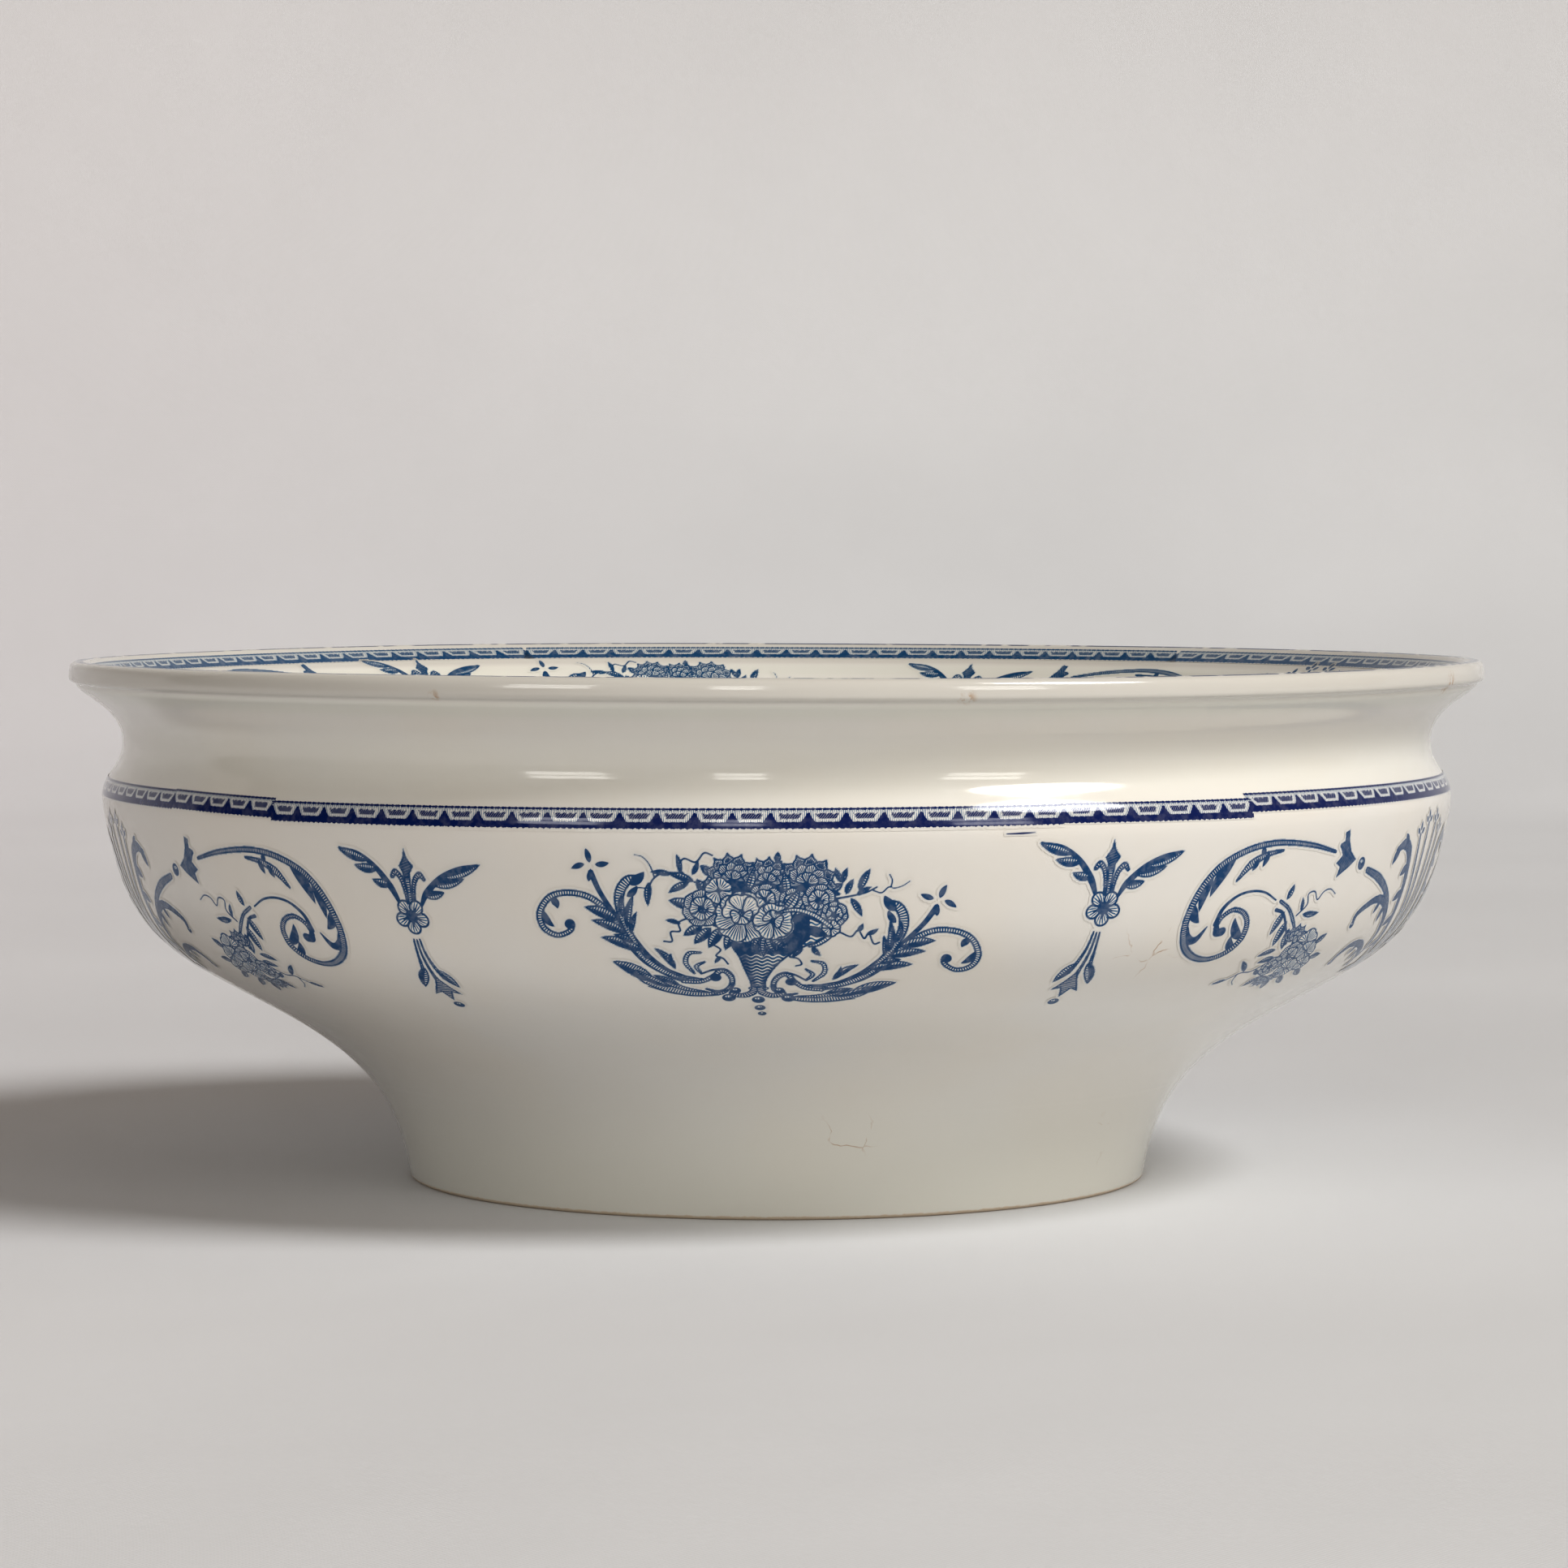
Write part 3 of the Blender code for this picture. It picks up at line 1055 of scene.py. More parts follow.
    def petals(self, centre: tuple, radius: float, count: int, turn: float = 0.0, tone: float = 0.8,
               plump: float = 1.0, spread: float = 360.0, halo: float = 0.3, depth: float = 1.35,
               point: float = -0.06) -> None:
        """A ring or a fan of rounded petals, darkest at the heart.

        Args:
            centre: The flower's middle.
            radius: Reach of the petals.
            count: Number of petals.
            turn: Degrees of the first petal, or of the middle of a fan.
            tone: How dark the heart is.
            plump: Width of each petal as a share of its place in the ring.
            spread: Degrees that the petals share, under 360 for a fan.
            halo: Width of each petal's pale margin.
            depth: How far out the shade reaches, as a share of the radius.
            point: How far the petals' tips stand out, as a share of the radius.
        """
        middle = np.array(centre, float)
        step = spread / count
        first = turn if spread >= 360.0 else turn - spread / 2 + step / 2
        for index in range(count):
            angle = math.radians(first + step * index)
            way = np.array([math.cos(angle), math.sin(angle)])
            side = np.array([-way[1], way[0]])
            wide = radius * math.tan(math.radians(min(step, 80.0)) / 2) * 0.95 * plump
            half = ((0.5, 0.85), (0.88, 0.78), (1.02, 0.3))
            outline = [middle + way * radius * 0.05]
            outline += [middle + way * radius * out + side * wide * aside for out, aside in half]
            outline += [middle + way * radius * (1.02 + point)]
            outline += [middle + way * radius * out - side * wide * aside for out, aside in half[::-1]]
            self.shape(outline, tone, 0.26, heart=tuple(middle), fade=radius * depth, halo=halo)

    def rose(self, centre: tuple, radius: float, turn: float = 0.0, tone: float = 0.8) -> None:
        """A full rose: two rings of petals round a curled heart.

        Args:
            centre: Its middle.
            radius: Reach of the outer ring.
            turn: Degrees of its first petal.
            tone: How dark the heart is.
        """
        middle = np.array(centre, float)
        self.petals(centre, radius, 7, turn, tone, 1.2, halo=0.2, depth=2.3, point=0.05)
        self.petals(centre, radius * 0.66, 5, turn + 40.0, tone, 1.1, halo=0.3, depth=1.5)
        curl = [middle + radius * 0.30 * (1 - i / 9) * np.array([math.cos(i * 0.9), math.sin(i * 0.9)])
                for i in range(8)]
        self.stroke(curl, (0.34, 0.26))

    def dome(self, centre: tuple, radius: float, turn: float = -90.0, tone: float = 1.0) -> None:
        """A dark flower seen from its side, its petals in three overlapping fans.

        Args:
            centre: The point that the fans spring from.
            radius: Reach of the largest fan.
            turn: Degrees of the fans' middle.
            tone: How dark the heart is.
        """
        self.petals(centre, radius, 7, turn, tone * 1.1, 1.25, 200.0, 0.12, 3.4, 0.14)
        self.petals(centre, radius * 0.74, 5, turn + 8.0, tone, 1.25, 170.0, 0.22, 2.4, 0.10)
        self.petals(centre, radius * 0.46, 3, turn - 4.0, tone, 1.2, 150.0, 0.2, 2.0)

    def volute(self, points: list, width: tuple, eye: tuple, radius: float, tone: float = 0.65) -> None:
        """A scrolled band that ends in a round eye.

        Args:
            points: The points that the band's middle passes.
            width: Widths spread evenly along it.
            eye: Middle of the eye.
            radius: Radius of the eye.
            tone: How dark the band's middle is.
        """
        self.ribbon(points, width, tone)
        near, gap, _ = self.line_gap(self.put([eye, (eye[0] + 0.01, eye[1])]), np.array([radius] * 2))
        self.cut(near, gap)


class Motif(Enum):
    """The cut-out prints. A turned spray has its tassel swept the other way."""

    CORNUCOPIA = "cornucopia"
    SPRAY = "spray"
    SPRAY_TURNED = "spray_turned"
    SCROLL = "scroll"
    FAN = "fan"


def engrave_wing(burin: Burin) -> None:
    """The scrolled acanthus wing to the left of the horn.

    Args:
        burin: The tool on the plate.
    """
    burin.volute([(-9, 32.6), (-13, 32.2), (-18, 28.6), (-22, 23.4), (-24.4, 19.4), (-28, 16.2),
                  (-32, 15.3), (-35.4, 16.2), (-37.2, 19), (-36.6, 21.8), (-34.2, 23.2), (-31.9, 22.3),
                  (-31.4, 21.2)], (1.1, 1.3, 1.1, 1.1, 1.2, 1.0, 0.9), (-31.9, 21.0), 0.9)
    burin.stroke([(-28, 11.6), (-26.4, 15.2), (-23.6, 19.6), (-20.4, 24.4), (-16.5, 29), (-12, 31.6)],
                 (0.95, 0.75, 0.5, 0.35))
    burin.leaf((-28.4, 13.2), (-28.0, 11.0), 0.9, dark=True)
    for base, tip in (((-28.2, 9.9), (-28.9, 7.4)), ((-29.1, 10.2), (-31.4, 11.0)),
                      ((-27.2, 10.2), (-24.8, 9.9))):
        burin.leaf(base, tip, 1.0, 0.08, dark=True)
    burin.leaf((-35.2, 16.4), (-34.0, 18.2), 1.3, -0.3, dark=True)
    burin.leaf((-36.6, 18.6), (-34.6, 21.6), 1.2, 0.25, dark=True)
    burin.ribbon([(-18.6, 27.4), (-21.4, 22.6), (-23.0, 18), (-23.0, 15.0), (-21.6, 12.9), (-19.4, 12.4)],
                 (0.6, 1.2, 1.6, 1.8, 1.7, 0.8), 0.72)
    burin.leaves((((-21.4, 13.6), (-18.8, 11.4), 1.7), ((-21.8, 15.8), (-20.0, 13.9), 1.2)), 0.15,
                 dark=True)
    burin.leaves((((-21.8, 21.6), (-20.7, 15.6), 1.3), ((-22.5, 19.6), (-22.7, 15.4), 1.1),
                  ((-21.2, 22.6), (-20.2, 18.6), 1.0)), -0.12, 0.85)
    burin.leaves((((-23.4, 20.2), (-29.2, 17.8), 1.9), ((-22.0, 22.6), (-28.0, 20.2), 1.7),
                  ((-19.4, 26.0), (-26.4, 23.4), 2.0), ((-20.8, 24.4), (-24.2, 22.8), 1.2)), 0.10, 0.85)
    burin.stroke([(-22.6, 24), (-19, 28.6), (-15, 31.4), (-11, 32.8)], (0.3, 0.3))
    burin.stroke([(-20.6, 23.2), (-17.6, 27.4), (-13.6, 30.9), (-10, 32)], (0.25, 0.3))
    # curled hairs above the stem's root
    burin.ribbon([(-10.6, 30.8), (-12.0, 28.4), (-11.4, 26.4), (-9.4, 26.2)], (0.5, 0.9, 0.8, 0.4), 0.5,
                 0.22)
    burin.ribbon([(-9.4, 30.8), (-10.2, 29.2), (-8.8, 28.2)], (0.5, 0.8, 0.4), 0.5, 0.22)
    burin.leaf((-13.8, 29.8), (-17.3, 25.4), 1.3, 0.18, 0.8)
    burin.leaf((-14.4, 29.2), (-14.5, 26.4), 0.8, -0.1, 0.7)
    # the small scroll that the wing springs from
    burin.volute([(-12.5, 32.9), (-9.6, 32.9), (-7.3, 31.4), (-6.1, 30.1), (-4.9, 30.6), (-4.2, 32.4),
                  (-4.7, 34.6), (-6.6, 35.6), (-8.6, 34.9)], (0.9, 1.0, 1.1, 1.1, 1.0, 0.8, 0.5), (-7.0,
                                                                                                   31.8),
                 0.95)
    burin.stroke([(-9.4, 30.9), (-7.2, 29.9), (-5.2, 30.0), (-4.0, 31.4)], (0.35, 0.45, 0.35))
    # plumes under it
    burin.ribbon([(-4.2, 33.4), (-6.2, 36.0), (-10.5, 36.3), (-15, 34.9), (-18.6, 32.6), (-21, 30.2)],
                 (0.6, 1.1, 1.5, 2.1, 2.3, 1.2), 0.75)
    burin.leaf((-17.5, 33.2), (-24.6, 28.3), 2.6, 0.12, 0.95)
    burin.leaf((-14.6, 34.4), (-20.6, 30.0), 1.6, -0.12, 0.9)
    burin.ribbon([(-8.6, 35.8), (-12, 35.0), (-14.6, 33.6), (-16.4, 32.2)], (0.5, 1.1, 1.4, 0.8), 0.8)
    burin.leaf((-13.2, 34.0), (-17.7, 31.4), 1.2, 0.1, 0.9)
    burin.stroke([(-5.2, 35.2), (-9, 37.0), (-14, 36.4), (-18.6, 34.4)], (0.3, 0.35, 0.2))


def engrave_twigs(burin: Burin) -> None:
    """Leafy twigs and tendrils at both sides of the bouquet.

    Args:
        burin: The tool on the plate.
    """
    thin = 0.28
    burin.stroke([(-9.6, 13.4), (-12.2, 12.2), (-15, 11.4), (-17.2, 12.6), (-18.3, 15)], thin)
    burin.stroke([(-11, 12.8), (-12.8, 10.6), (-12.0, 9.0), (-10, 9.6), (-8.6, 8.0), (-7.2, 8.4)], thin)
    burin.stroke([(-17.0, 12.4), (-17.8, 10.2), (-19.0, 8.8), (-20.4, 8.4)], (0.24, 0.14))
    burin.stroke([(-18.2, 14.4), (-19.8, 14.2), (-21, 14.6)], (0.22, 0.12))
    burin.leaves((((-10.4, 13.0), (-14.8, 11.6), 1.3), ((-11.2, 13.2), (-14.6, 15.0), 1.3),
                  ((-17.9, 13.2), (-18.2, 17.4), 1.2), ((-12.6, 11.6), (-13.3, 8.2), 0.9),
                  ((-10.6, 11.8), (-9.6, 9.4), 0.9), ((-14.2, 11.8), (-17.6, 11.4), 1.0),
                  ((-10.6, 17.6), (-14.6, 16.4), 1.9)), 0.08, 0.85)
    burin.stroke([(-11, 19.4), (-13, 20.4), (-12.8, 22.0), (-14.4, 22.2), (-14.2, 24.0), (-15.6, 24.0)],
                 thin)
    burin.leaf((-12.8, 20.6), (-15.2, 20.0), 0.8, 0.1, 0.6)
    burin.stroke([(13.6, 16.0), (15.8, 15.6), (18.4, 15.0), (20.4, 14.0)], (0.34, 0.24))
    burin.stroke([(19.8, 14.6), (21.2, 15.0), (22.4, 14.0), (23.4, 14.2), (24.8, 13.8), (26, 13.0)],
                 (0.24, 0.12))
    burin.stroke([(22.8, 14.0), (23.0, 12.8), (22.6, 11.8)], 0.2)
    burin.leaves((((12.4, 14.8), (12.6, 12.0), 1.3), ((15.2, 15.2), (16.4, 12.6), 1.1),
                  ((17.4, 14.6), (19.3, 10.8), 1.3), ((17.0, 15.4), (19.4, 14.0), 0.9),
                  ((16.0, 16.0), (17.8, 19.2), 1.2), ((14.2, 15.2), (12.0, 14.6), 0.9),
                  ((14.6, 13.2), (13.4, 10.6), 1.0), ((14.6, 13.2), (15.4, 10.6), 1.0)), -0.08, 0.85)
    burin.stroke([(14.2, 22.2), (16.0, 23.0), (17.2, 21.8), (18.2, 23.4), (19.0, 22.4), (19.8, 24.4),
                  (20.8, 24.2)], thin)
    burin.leaf((17.2, 22.0), (18.0, 20.6), 0.8, 0.1, 0.6)
    burin.leaf((18.6, 22.6), (20.6, 21.6), 0.8, 0.1, 0.6)
    burin.stroke([(-7.2, 24.6), (-6.0, 25.6), (-6.8, 26.8), (-5.6, 27.4), (-4.8, 28.6)], thin)
    burin.leaf((-6.0, 27.0), (-7.0, 28.4), 0.7, 0.1, 0.6)
    burin.stroke([(6.2, 26.0), (5.6, 27.0), (7.0, 27.4), (7.6, 28.6), (6.6, 29.0)], thin)
    burin.leaf((7.8, 25.4), (6.0, 27.2), 0.9, 0.1, 0.7)
    burin.leaf((9.4, 25.0), (10.8, 26.8), 1.0, 0.1, 0.7)


def engrave_bouquet(burin: Burin) -> None:
    """Roses and peonies that fill the horn's mouth.

    Args:
        burin: The tool on the plate.
    """
    burin.leaves((((-9, 21), (-12.2, 22.8), 1.7), ((-7.6, 21.4), (-10.4, 24.4), 1.9),
                  ((-5.8, 21.4), (-8.0, 25.2), 2.0), ((-3.6, 21.6), (-5.2, 25.6), 1.9),
                  ((-8.6, 15), (-9.9, 12.6), 1.5), ((10.8, 11.4), (12.0, 9.2), 1.3),
                  ((-7.2, 12.0), (-9.2, 10.2), 1.5), ((3.6, 9.6), (3.8, 7.8), 1.1),
                  ((12.6, 14.4), (14.6, 13.4), 1.4)), 0.05, 0.85)
    ground = [(-8.6, 13.2), (-6.4, 10.4), (-3.6, 9.0), (0, 11.2), (3, 9.6), (6, 9.8), (9.4, 8.8), (11.6,
                                                                                                   11.4),
              (13, 14.6), (14.6, 18.4), (13.6, 21.4), (11, 20.6), (7.6, 19.2), (5, 20.6), (2.6, 23.0),
              (-2, 22.6), (-8, 20.6), (-10.2, 17)]
    near, gap = burin.outline_gap(burin.put(smooth(ground, 4, closed=True)))
    burin.cut(near, gap)
    burin.dome((-4.0, 12.8), 4.3, -98.0)
    burin.dome((1.9, 13.0), 3.9, -84.0)
    burin.dome((8.6, 13.4), 4.7, -80.0)
    burin.leaves((((-1.4, 14.6), (-0.4, 10.6), 1.5), ((5.2, 15.6), (4.6, 11.2), 1.6),
                  ((7.0, 17.4), (10.0, 15.2), 1.7), ((3.2, 17.6), (6.2, 15.0), 1.7)), 0.12, 0.55)
    burin.rose((1.5, 16.2), 2.9, 25.0, 0.9)
    burin.rose((6.3, 16.6), 2.5, 60.0, 1.0)
    burin.leaf((4.4, 18.6), (7.4, 14.2), 1.8, 0.1, 0.5)
    for tip in ((-0.6, 25.4), (1.2, 27.0), (3.2, 26.4), (5.0, 25.0)):
        burin.leaf((2.0, 21.8), tip, 1.8, 0.06, 1.0)
    burin.rose((-9.0, 17.8), 3.3, 10.0, 0.95)
    burin.petals((-6.2, 14.6), 2.3, 4, 40.0, 0.9)
    burin.rose((10.6, 16.2), 2.8, 30.0, 0.9)
    burin.rose((13.2, 18.8), 2.3, 15.0, 0.9)
    burin.petals((12.6, 21.4), 1.6, 4, 50.0, 0.9)
    # the pale peony in front, and the bloom beside it
    burin.petals((-2.2, 19.4), 4.7, 6, 5.0, 0.9, 1.15, halo=0.35, depth=1.6)
    burin.petals((-2.4, 18.4), 3.2, 3, -90.0, 0.42, 1.2, 200.0, 0.5)
    burin.petals((-2.4, 18.9), 1.9, 3, 90.0, 0.75, 1.1, 220.0, 0.3)
    burin.petals((2.9, 20.2), 3.3, 5, 70.0, 0.85, 1.15, halo=0.4)
    burin.petals((2.9, 19.8), 1.7, 3, -60.0, 0.8, 1.1, 240.0, 0.25)


def engrave_horn(burin: Burin) -> None:
    """The woven horn, its curled foot and the beads that hang from it.

    Args:
        burin: The tool on the plate.
    """
    outline = smooth([(3.8, 18.4), (6.6, 18.2), (9.6, 19.2), (12.2, 20.9), (12.6, 22.2), (10.6, 23.9),
                      (7.4, 25.4), (4.6, 27.6), (2.6, 30.2), (1.5, 32.8), (1.4, 35.2), (-0.9, 35.2),
                      (-1.2, 32.8), (-2.0, 30.2), (-3.0, 27.0), (-4.2, 24.4), (-1, 24.2), (2.4, 22.4)], 4,
                     closed=True)
    near, gap = burin.outline_gap(burin.put(outline))
    u, v = burin.plate.u[near], burin.plate.v[near]
    burin.burnish(near, gap)
    shade = np.clip(0.80 - 0.055 * (u - 0.5) + 0.3 * np.clip(gap + 1.1, 0, 1.1), 0.45, 0.95)
    shade = np.where((u < 9) & (v < 26.5) & (u + v < 32.5), 1.0, shade)
    weave = (v + 0.22 * np.cos(u * 3.4)) / 0.74
    burin.hatch(near, gap, shade, weave)
    burin.cut(near, np.abs(gap + 0.15) - 0.15)
    burin.ribbon([(3.6, 18.5), (6.6, 17.9), (9.8, 18.9), (12.6, 21.0), (12.4, 22.8), (10.4, 24.4),
                  (9.0, 24.8)], (0.5, 0.8, 0.9, 1.0, 0.9, 0.6), 0.35, 0.24)
    burin.ribbon([(-1.2, 34.6), (0.2, 34.9), (1.6, 34.6)], (0.7, 0.8, 0.7), 0.3, 0.24)
    for side in (-1.0, 1.0):
        burin.ribbon([(0.4 * side, 34.6), (1.0 * side, 36.0), (2.6 * side, 36.8), (4.2 * side, 36.2),
                      (3.9 * side, 34.9)], (1.3, 1.5, 1.4, 1.2, 0.9), 0.85, 0.26)
        burin.bead((3.7 * side, 35.3), 0.9)
    for centre, radius in (((-4.9, 37.5), 1.15), ((5.2, 37.6), 1.15), ((0.1, 38.1), 1.1),
                           ((0.3, 40.9), 0.92), ((0.6, 43.1), 0.72)):
        burin.bead(centre, radius)


def engrave_cornucopia(burin: Burin) -> None:
    """The flower-filled horn between its two scrolled wings.

    Args:
        burin: The tool on the plate.
    """
    engrave_wing(burin)
    engrave_wing(burin.moved((5.8, 0.3), 12.5, mirror=True))
    engrave_twigs(burin)
    engrave_horn(burin)
    engrave_bouquet(burin)
    horn_lip = [(3.4, 18.6), (6.6, 18.0), (9.8, 19.0), (12.6, 21.1)]
    burin.ribbon(horn_lip, (0.5, 0.9, 1.0, 0.9), 0.3, 0.24)
    burin.leaf((8.6, 21.2), (12.0, 22.6), 1.9, 0.12, dark=True)


def engrave_finial(burin: Burin) -> None:
    """A finial between two feathered wings, over a small bloom.

    Args:
        burin: The tool on the plate.
    """
    burin.ribbon([(2.1, 10.6), (2.15, 14.0), (2.0, 18.0)], (1.5, 0.9, 1.0), 0.8)
    burin.shape([(2.2, 6.3), (2.6, 8.0), (3.7, 9.4), (2.9, 10.6), (2.6, 11.6), (1.8, 11.6), (1.4, 10.6),
                 (0.8, 9.4), (1.8, 8.0)], 0.95, 0.3, angle=70.0, curved=False)
    burin.ribbon([(1.5, 17.6), (1.4, 14.2), (0.9, 11.7), (-0.1, 10.5), (-0.9, 11.3)], (0.6, 0.75, 0.95,
                                                                                       1.1, 0.8), 0.85)
    burin.ribbon([(2.8, 17.6), (3.0, 14.2), (3.6, 12.0), (4.7, 10.9), (5.5, 11.7)], (0.6, 0.75, 0.95, 1.1,
                                                                                     0.7), 0.85)
    burin.stroke([(-0.2, 16.2), (-1.6, 13.2), (-4.2, 9.8), (-7.6, 7.4), (-11.6, 6.5)], (0.7, 1.3, 1.0,
                                                                                        0.7, 0.3))
    for base, tip, wide, bend in (((-5.6, 8.6), (-11.9, 6.6), 1.7, -0.06),
                                  ((-3.8, 10.0), (-8.7, 9.5), 1.7, -0.12),
                                  ((-1.6, 12.8), (-5.2, 12.0), 1.6, -0.15)):
        burin.leaf(base, tip, wide, bend, 0.8)
    burin.stroke([(4.2, 16.4), (5.6, 14.2), (8.8, 11.4), (12.6, 9.6), (16.4, 8.8)], (0.6, 1.2, 1.0, 0.7,
                                                                                     0.3))
    for base, tip, wide, bend in (((9.2, 11.2), (16.8, 8.8), 1.7, 0.08),
                                  ((7.2, 12.6), (13.4, 11.4), 1.7, 0.1),
                                  ((5.2, 14.6), (9.2, 13.9), 1.6, 0.12)):
        burin.leaf(base, tip, wide, bend, 0.8)
    heart = np.array([1.7, 18.6])
    ways = [np.array([math.cos(a), math.sin(a)]) for a in np.radians(18.0 + 72.0 * np.arange(5))]
    ring = [np.array([math.cos(a), math.sin(a)]) for a in np.linspace(0, math.tau, 10, endpoint=False)]
    for way in ways:
        burin.shape([heart + way * 2.05 + turn * 1.42 for turn in ring], 0.95, 0.34, heart=tuple(heart),
                    fade=4.6, halo=0.3)
    for way in ways:
        burin.stroke([heart, heart + way * 1.9], (1.0, 0.3), curved=False)
    burin.stroke([heart - ways[0] * 0.2, heart + ways[0] * 0.2], 1.3, curved=False)


def engrave_tassel(burin: Burin) -> None:
    """Three ribbons that hang from the bloom and sweep to one side.

    Args:
        burin: The tool on the plate.
    """
    burin.ribbon([(0.7, 23.0), (0.2, 26.2), (-0.7, 29.4), (-1.6, 31.8)], (0.3, 0.45, 0.7, 0.9), 0.7, 0.24)
    burin.leaf((-0.8, 29.6), (-3.6, 34.2), 1.9, 0.06, 0.8)
    burin.ribbon([(1.3, 23.2), (1.0, 27.0), (0.4, 31.0), (-0.1, 34)], (0.3, 0.45, 0.6, 1.3), 0.7, 0.24)
    burin.shape([(0.2, 31.4), (1.0, 34.0), (2.3, 37.2), (0.7, 36.3), (-0.5, 39.0), (-1.4, 36.1),
                 (-3.1, 36.5), (-1.5, 34.2), (-0.5, 32.6)], 0.85, 0.28, angle=80.0, curved=False)
    burin.ribbon([(1.9, 23.2), (1.9, 26.8), (2.0, 29.6), (2.4, 31.6)], (0.3, 0.45, 0.7, 1.0), 0.7, 0.24)
    burin.leaf((1.5, 29.6), (3.5, 35.2), 2.0, -0.08, 0.85)
    burin.bead((-0.8, 40.6), 1.0)


def engrave_spray(burin: Burin) -> None:
    """The finial, with its tassel swept to the left.

    Args:
        burin: The tool on the plate.
    """
    engrave_finial(burin)
    engrave_tassel(burin)


def engrave_spray_turned(burin: Burin) -> None:
    """The finial, with its tassel swept to the right.

    Args:
        burin: The tool on the plate.
    """
    engrave_finial(burin)
    engrave_tassel(burin.moved((5.1, 0.2), 5.9, mirror=True))


def engrave_bunch(burin: Burin) -> None:
    """The flowers that hang from the scroll.

    Args:
        burin: The tool on the plate.
    """
    burin.ribbon([(-1.2, 19.3), (1.6, 20.8), (3.8, 23.0), (6.0, 25.6)], (0.7, 0.7, 0.8, 0.6), 0.4, 0.26)
    burin.stroke([(-1.8, 20.9), (0.6, 21.8), (3.2, 25.2), (5.4, 28.4)], (0.7, 0.5, 0.4))
    burin.leaves((((0.8, 21.4), (-0.9, 26.0), 1.6), ((2.4, 23.4), (1.6, 28.6), 1.9),
                  ((0.4, 19.0), (1.6, 16.3), 1.3), ((4.0, 25.0), (5.0, 29.6), 1.8),
                  ((5.6, 21.6), (5.0, 19.0), 0.9), ((6.4, 22.2), (11.2, 22.2), 1.2),
                  ((3.2, 29.6), (-0.8, 30.8), 1.2), ((4.4, 31.6), (0.6, 32.6), 1.4),
                  ((-1.2, 34.8), (-4.0, 31.8), 1.1), ((2.0, 34.6), (3.6, 36.2), 1.0),
                  ((-4.2, 37.0), (-6.6, 38.2), 1.0)), 0.08, 0.8)
    burin.stroke([(4.6, 22.4), (6.8, 20.4), (6.4, 18.4), (8.2, 18.0), (9.6, 19.6), (11.0, 18.2),
                  (13, 17.8), (15, 18.8)], (0.3, 0.2))
    burin.stroke([(3.4, 33.0), (0.8, 35.0), (-1.8, 35.2), (-4.6, 37.4), (-6.6, 37.8)], (0.35, 0.22))
    burin.stroke([(-2.4, 35.4), (-1.8, 37.6), (-0.4, 39.0)], (0.26, 0.16))
    burin.dome((6.8, 28.0), 3.4, -60.0)
    burin.petals((11.6, 28.4), 2.8, 5, 20.0, 0.8, 1.2)
    burin.rose((8.8, 31.4), 3.2, 10.0, 0.95)
    burin.petals((13.6, 30.8), 2.6, 5, 45.0, 0.9, 1.2)
    burin.rose((5.6, 34.0), 2.6, 40.0, 0.95)
    burin.petals((11.4, 35.2), 2.8, 6, 5.0, 0.9, 1.2)
    burin.dome((7.8, 37.2), 3.0, 80.0)
    burin.petals((15.6, 34.2), 2.0, 5, 25.0, 0.85, 1.2)
    for base, tip in (((12.4, 37.6), (15.6, 40.4)), ((9.8, 38.6), (11.0, 41.8)),
                      ((5.4, 37.0), (3.4, 40.0)), ((15.8, 35.8), (19.0, 38.0)),
                      ((14.8, 28.8), (17.4, 27.0)), ((16.6, 32.4), (19.8, 32.0))):
        burin.leaf(base, tip, 1.5, 0.06, 0.9)


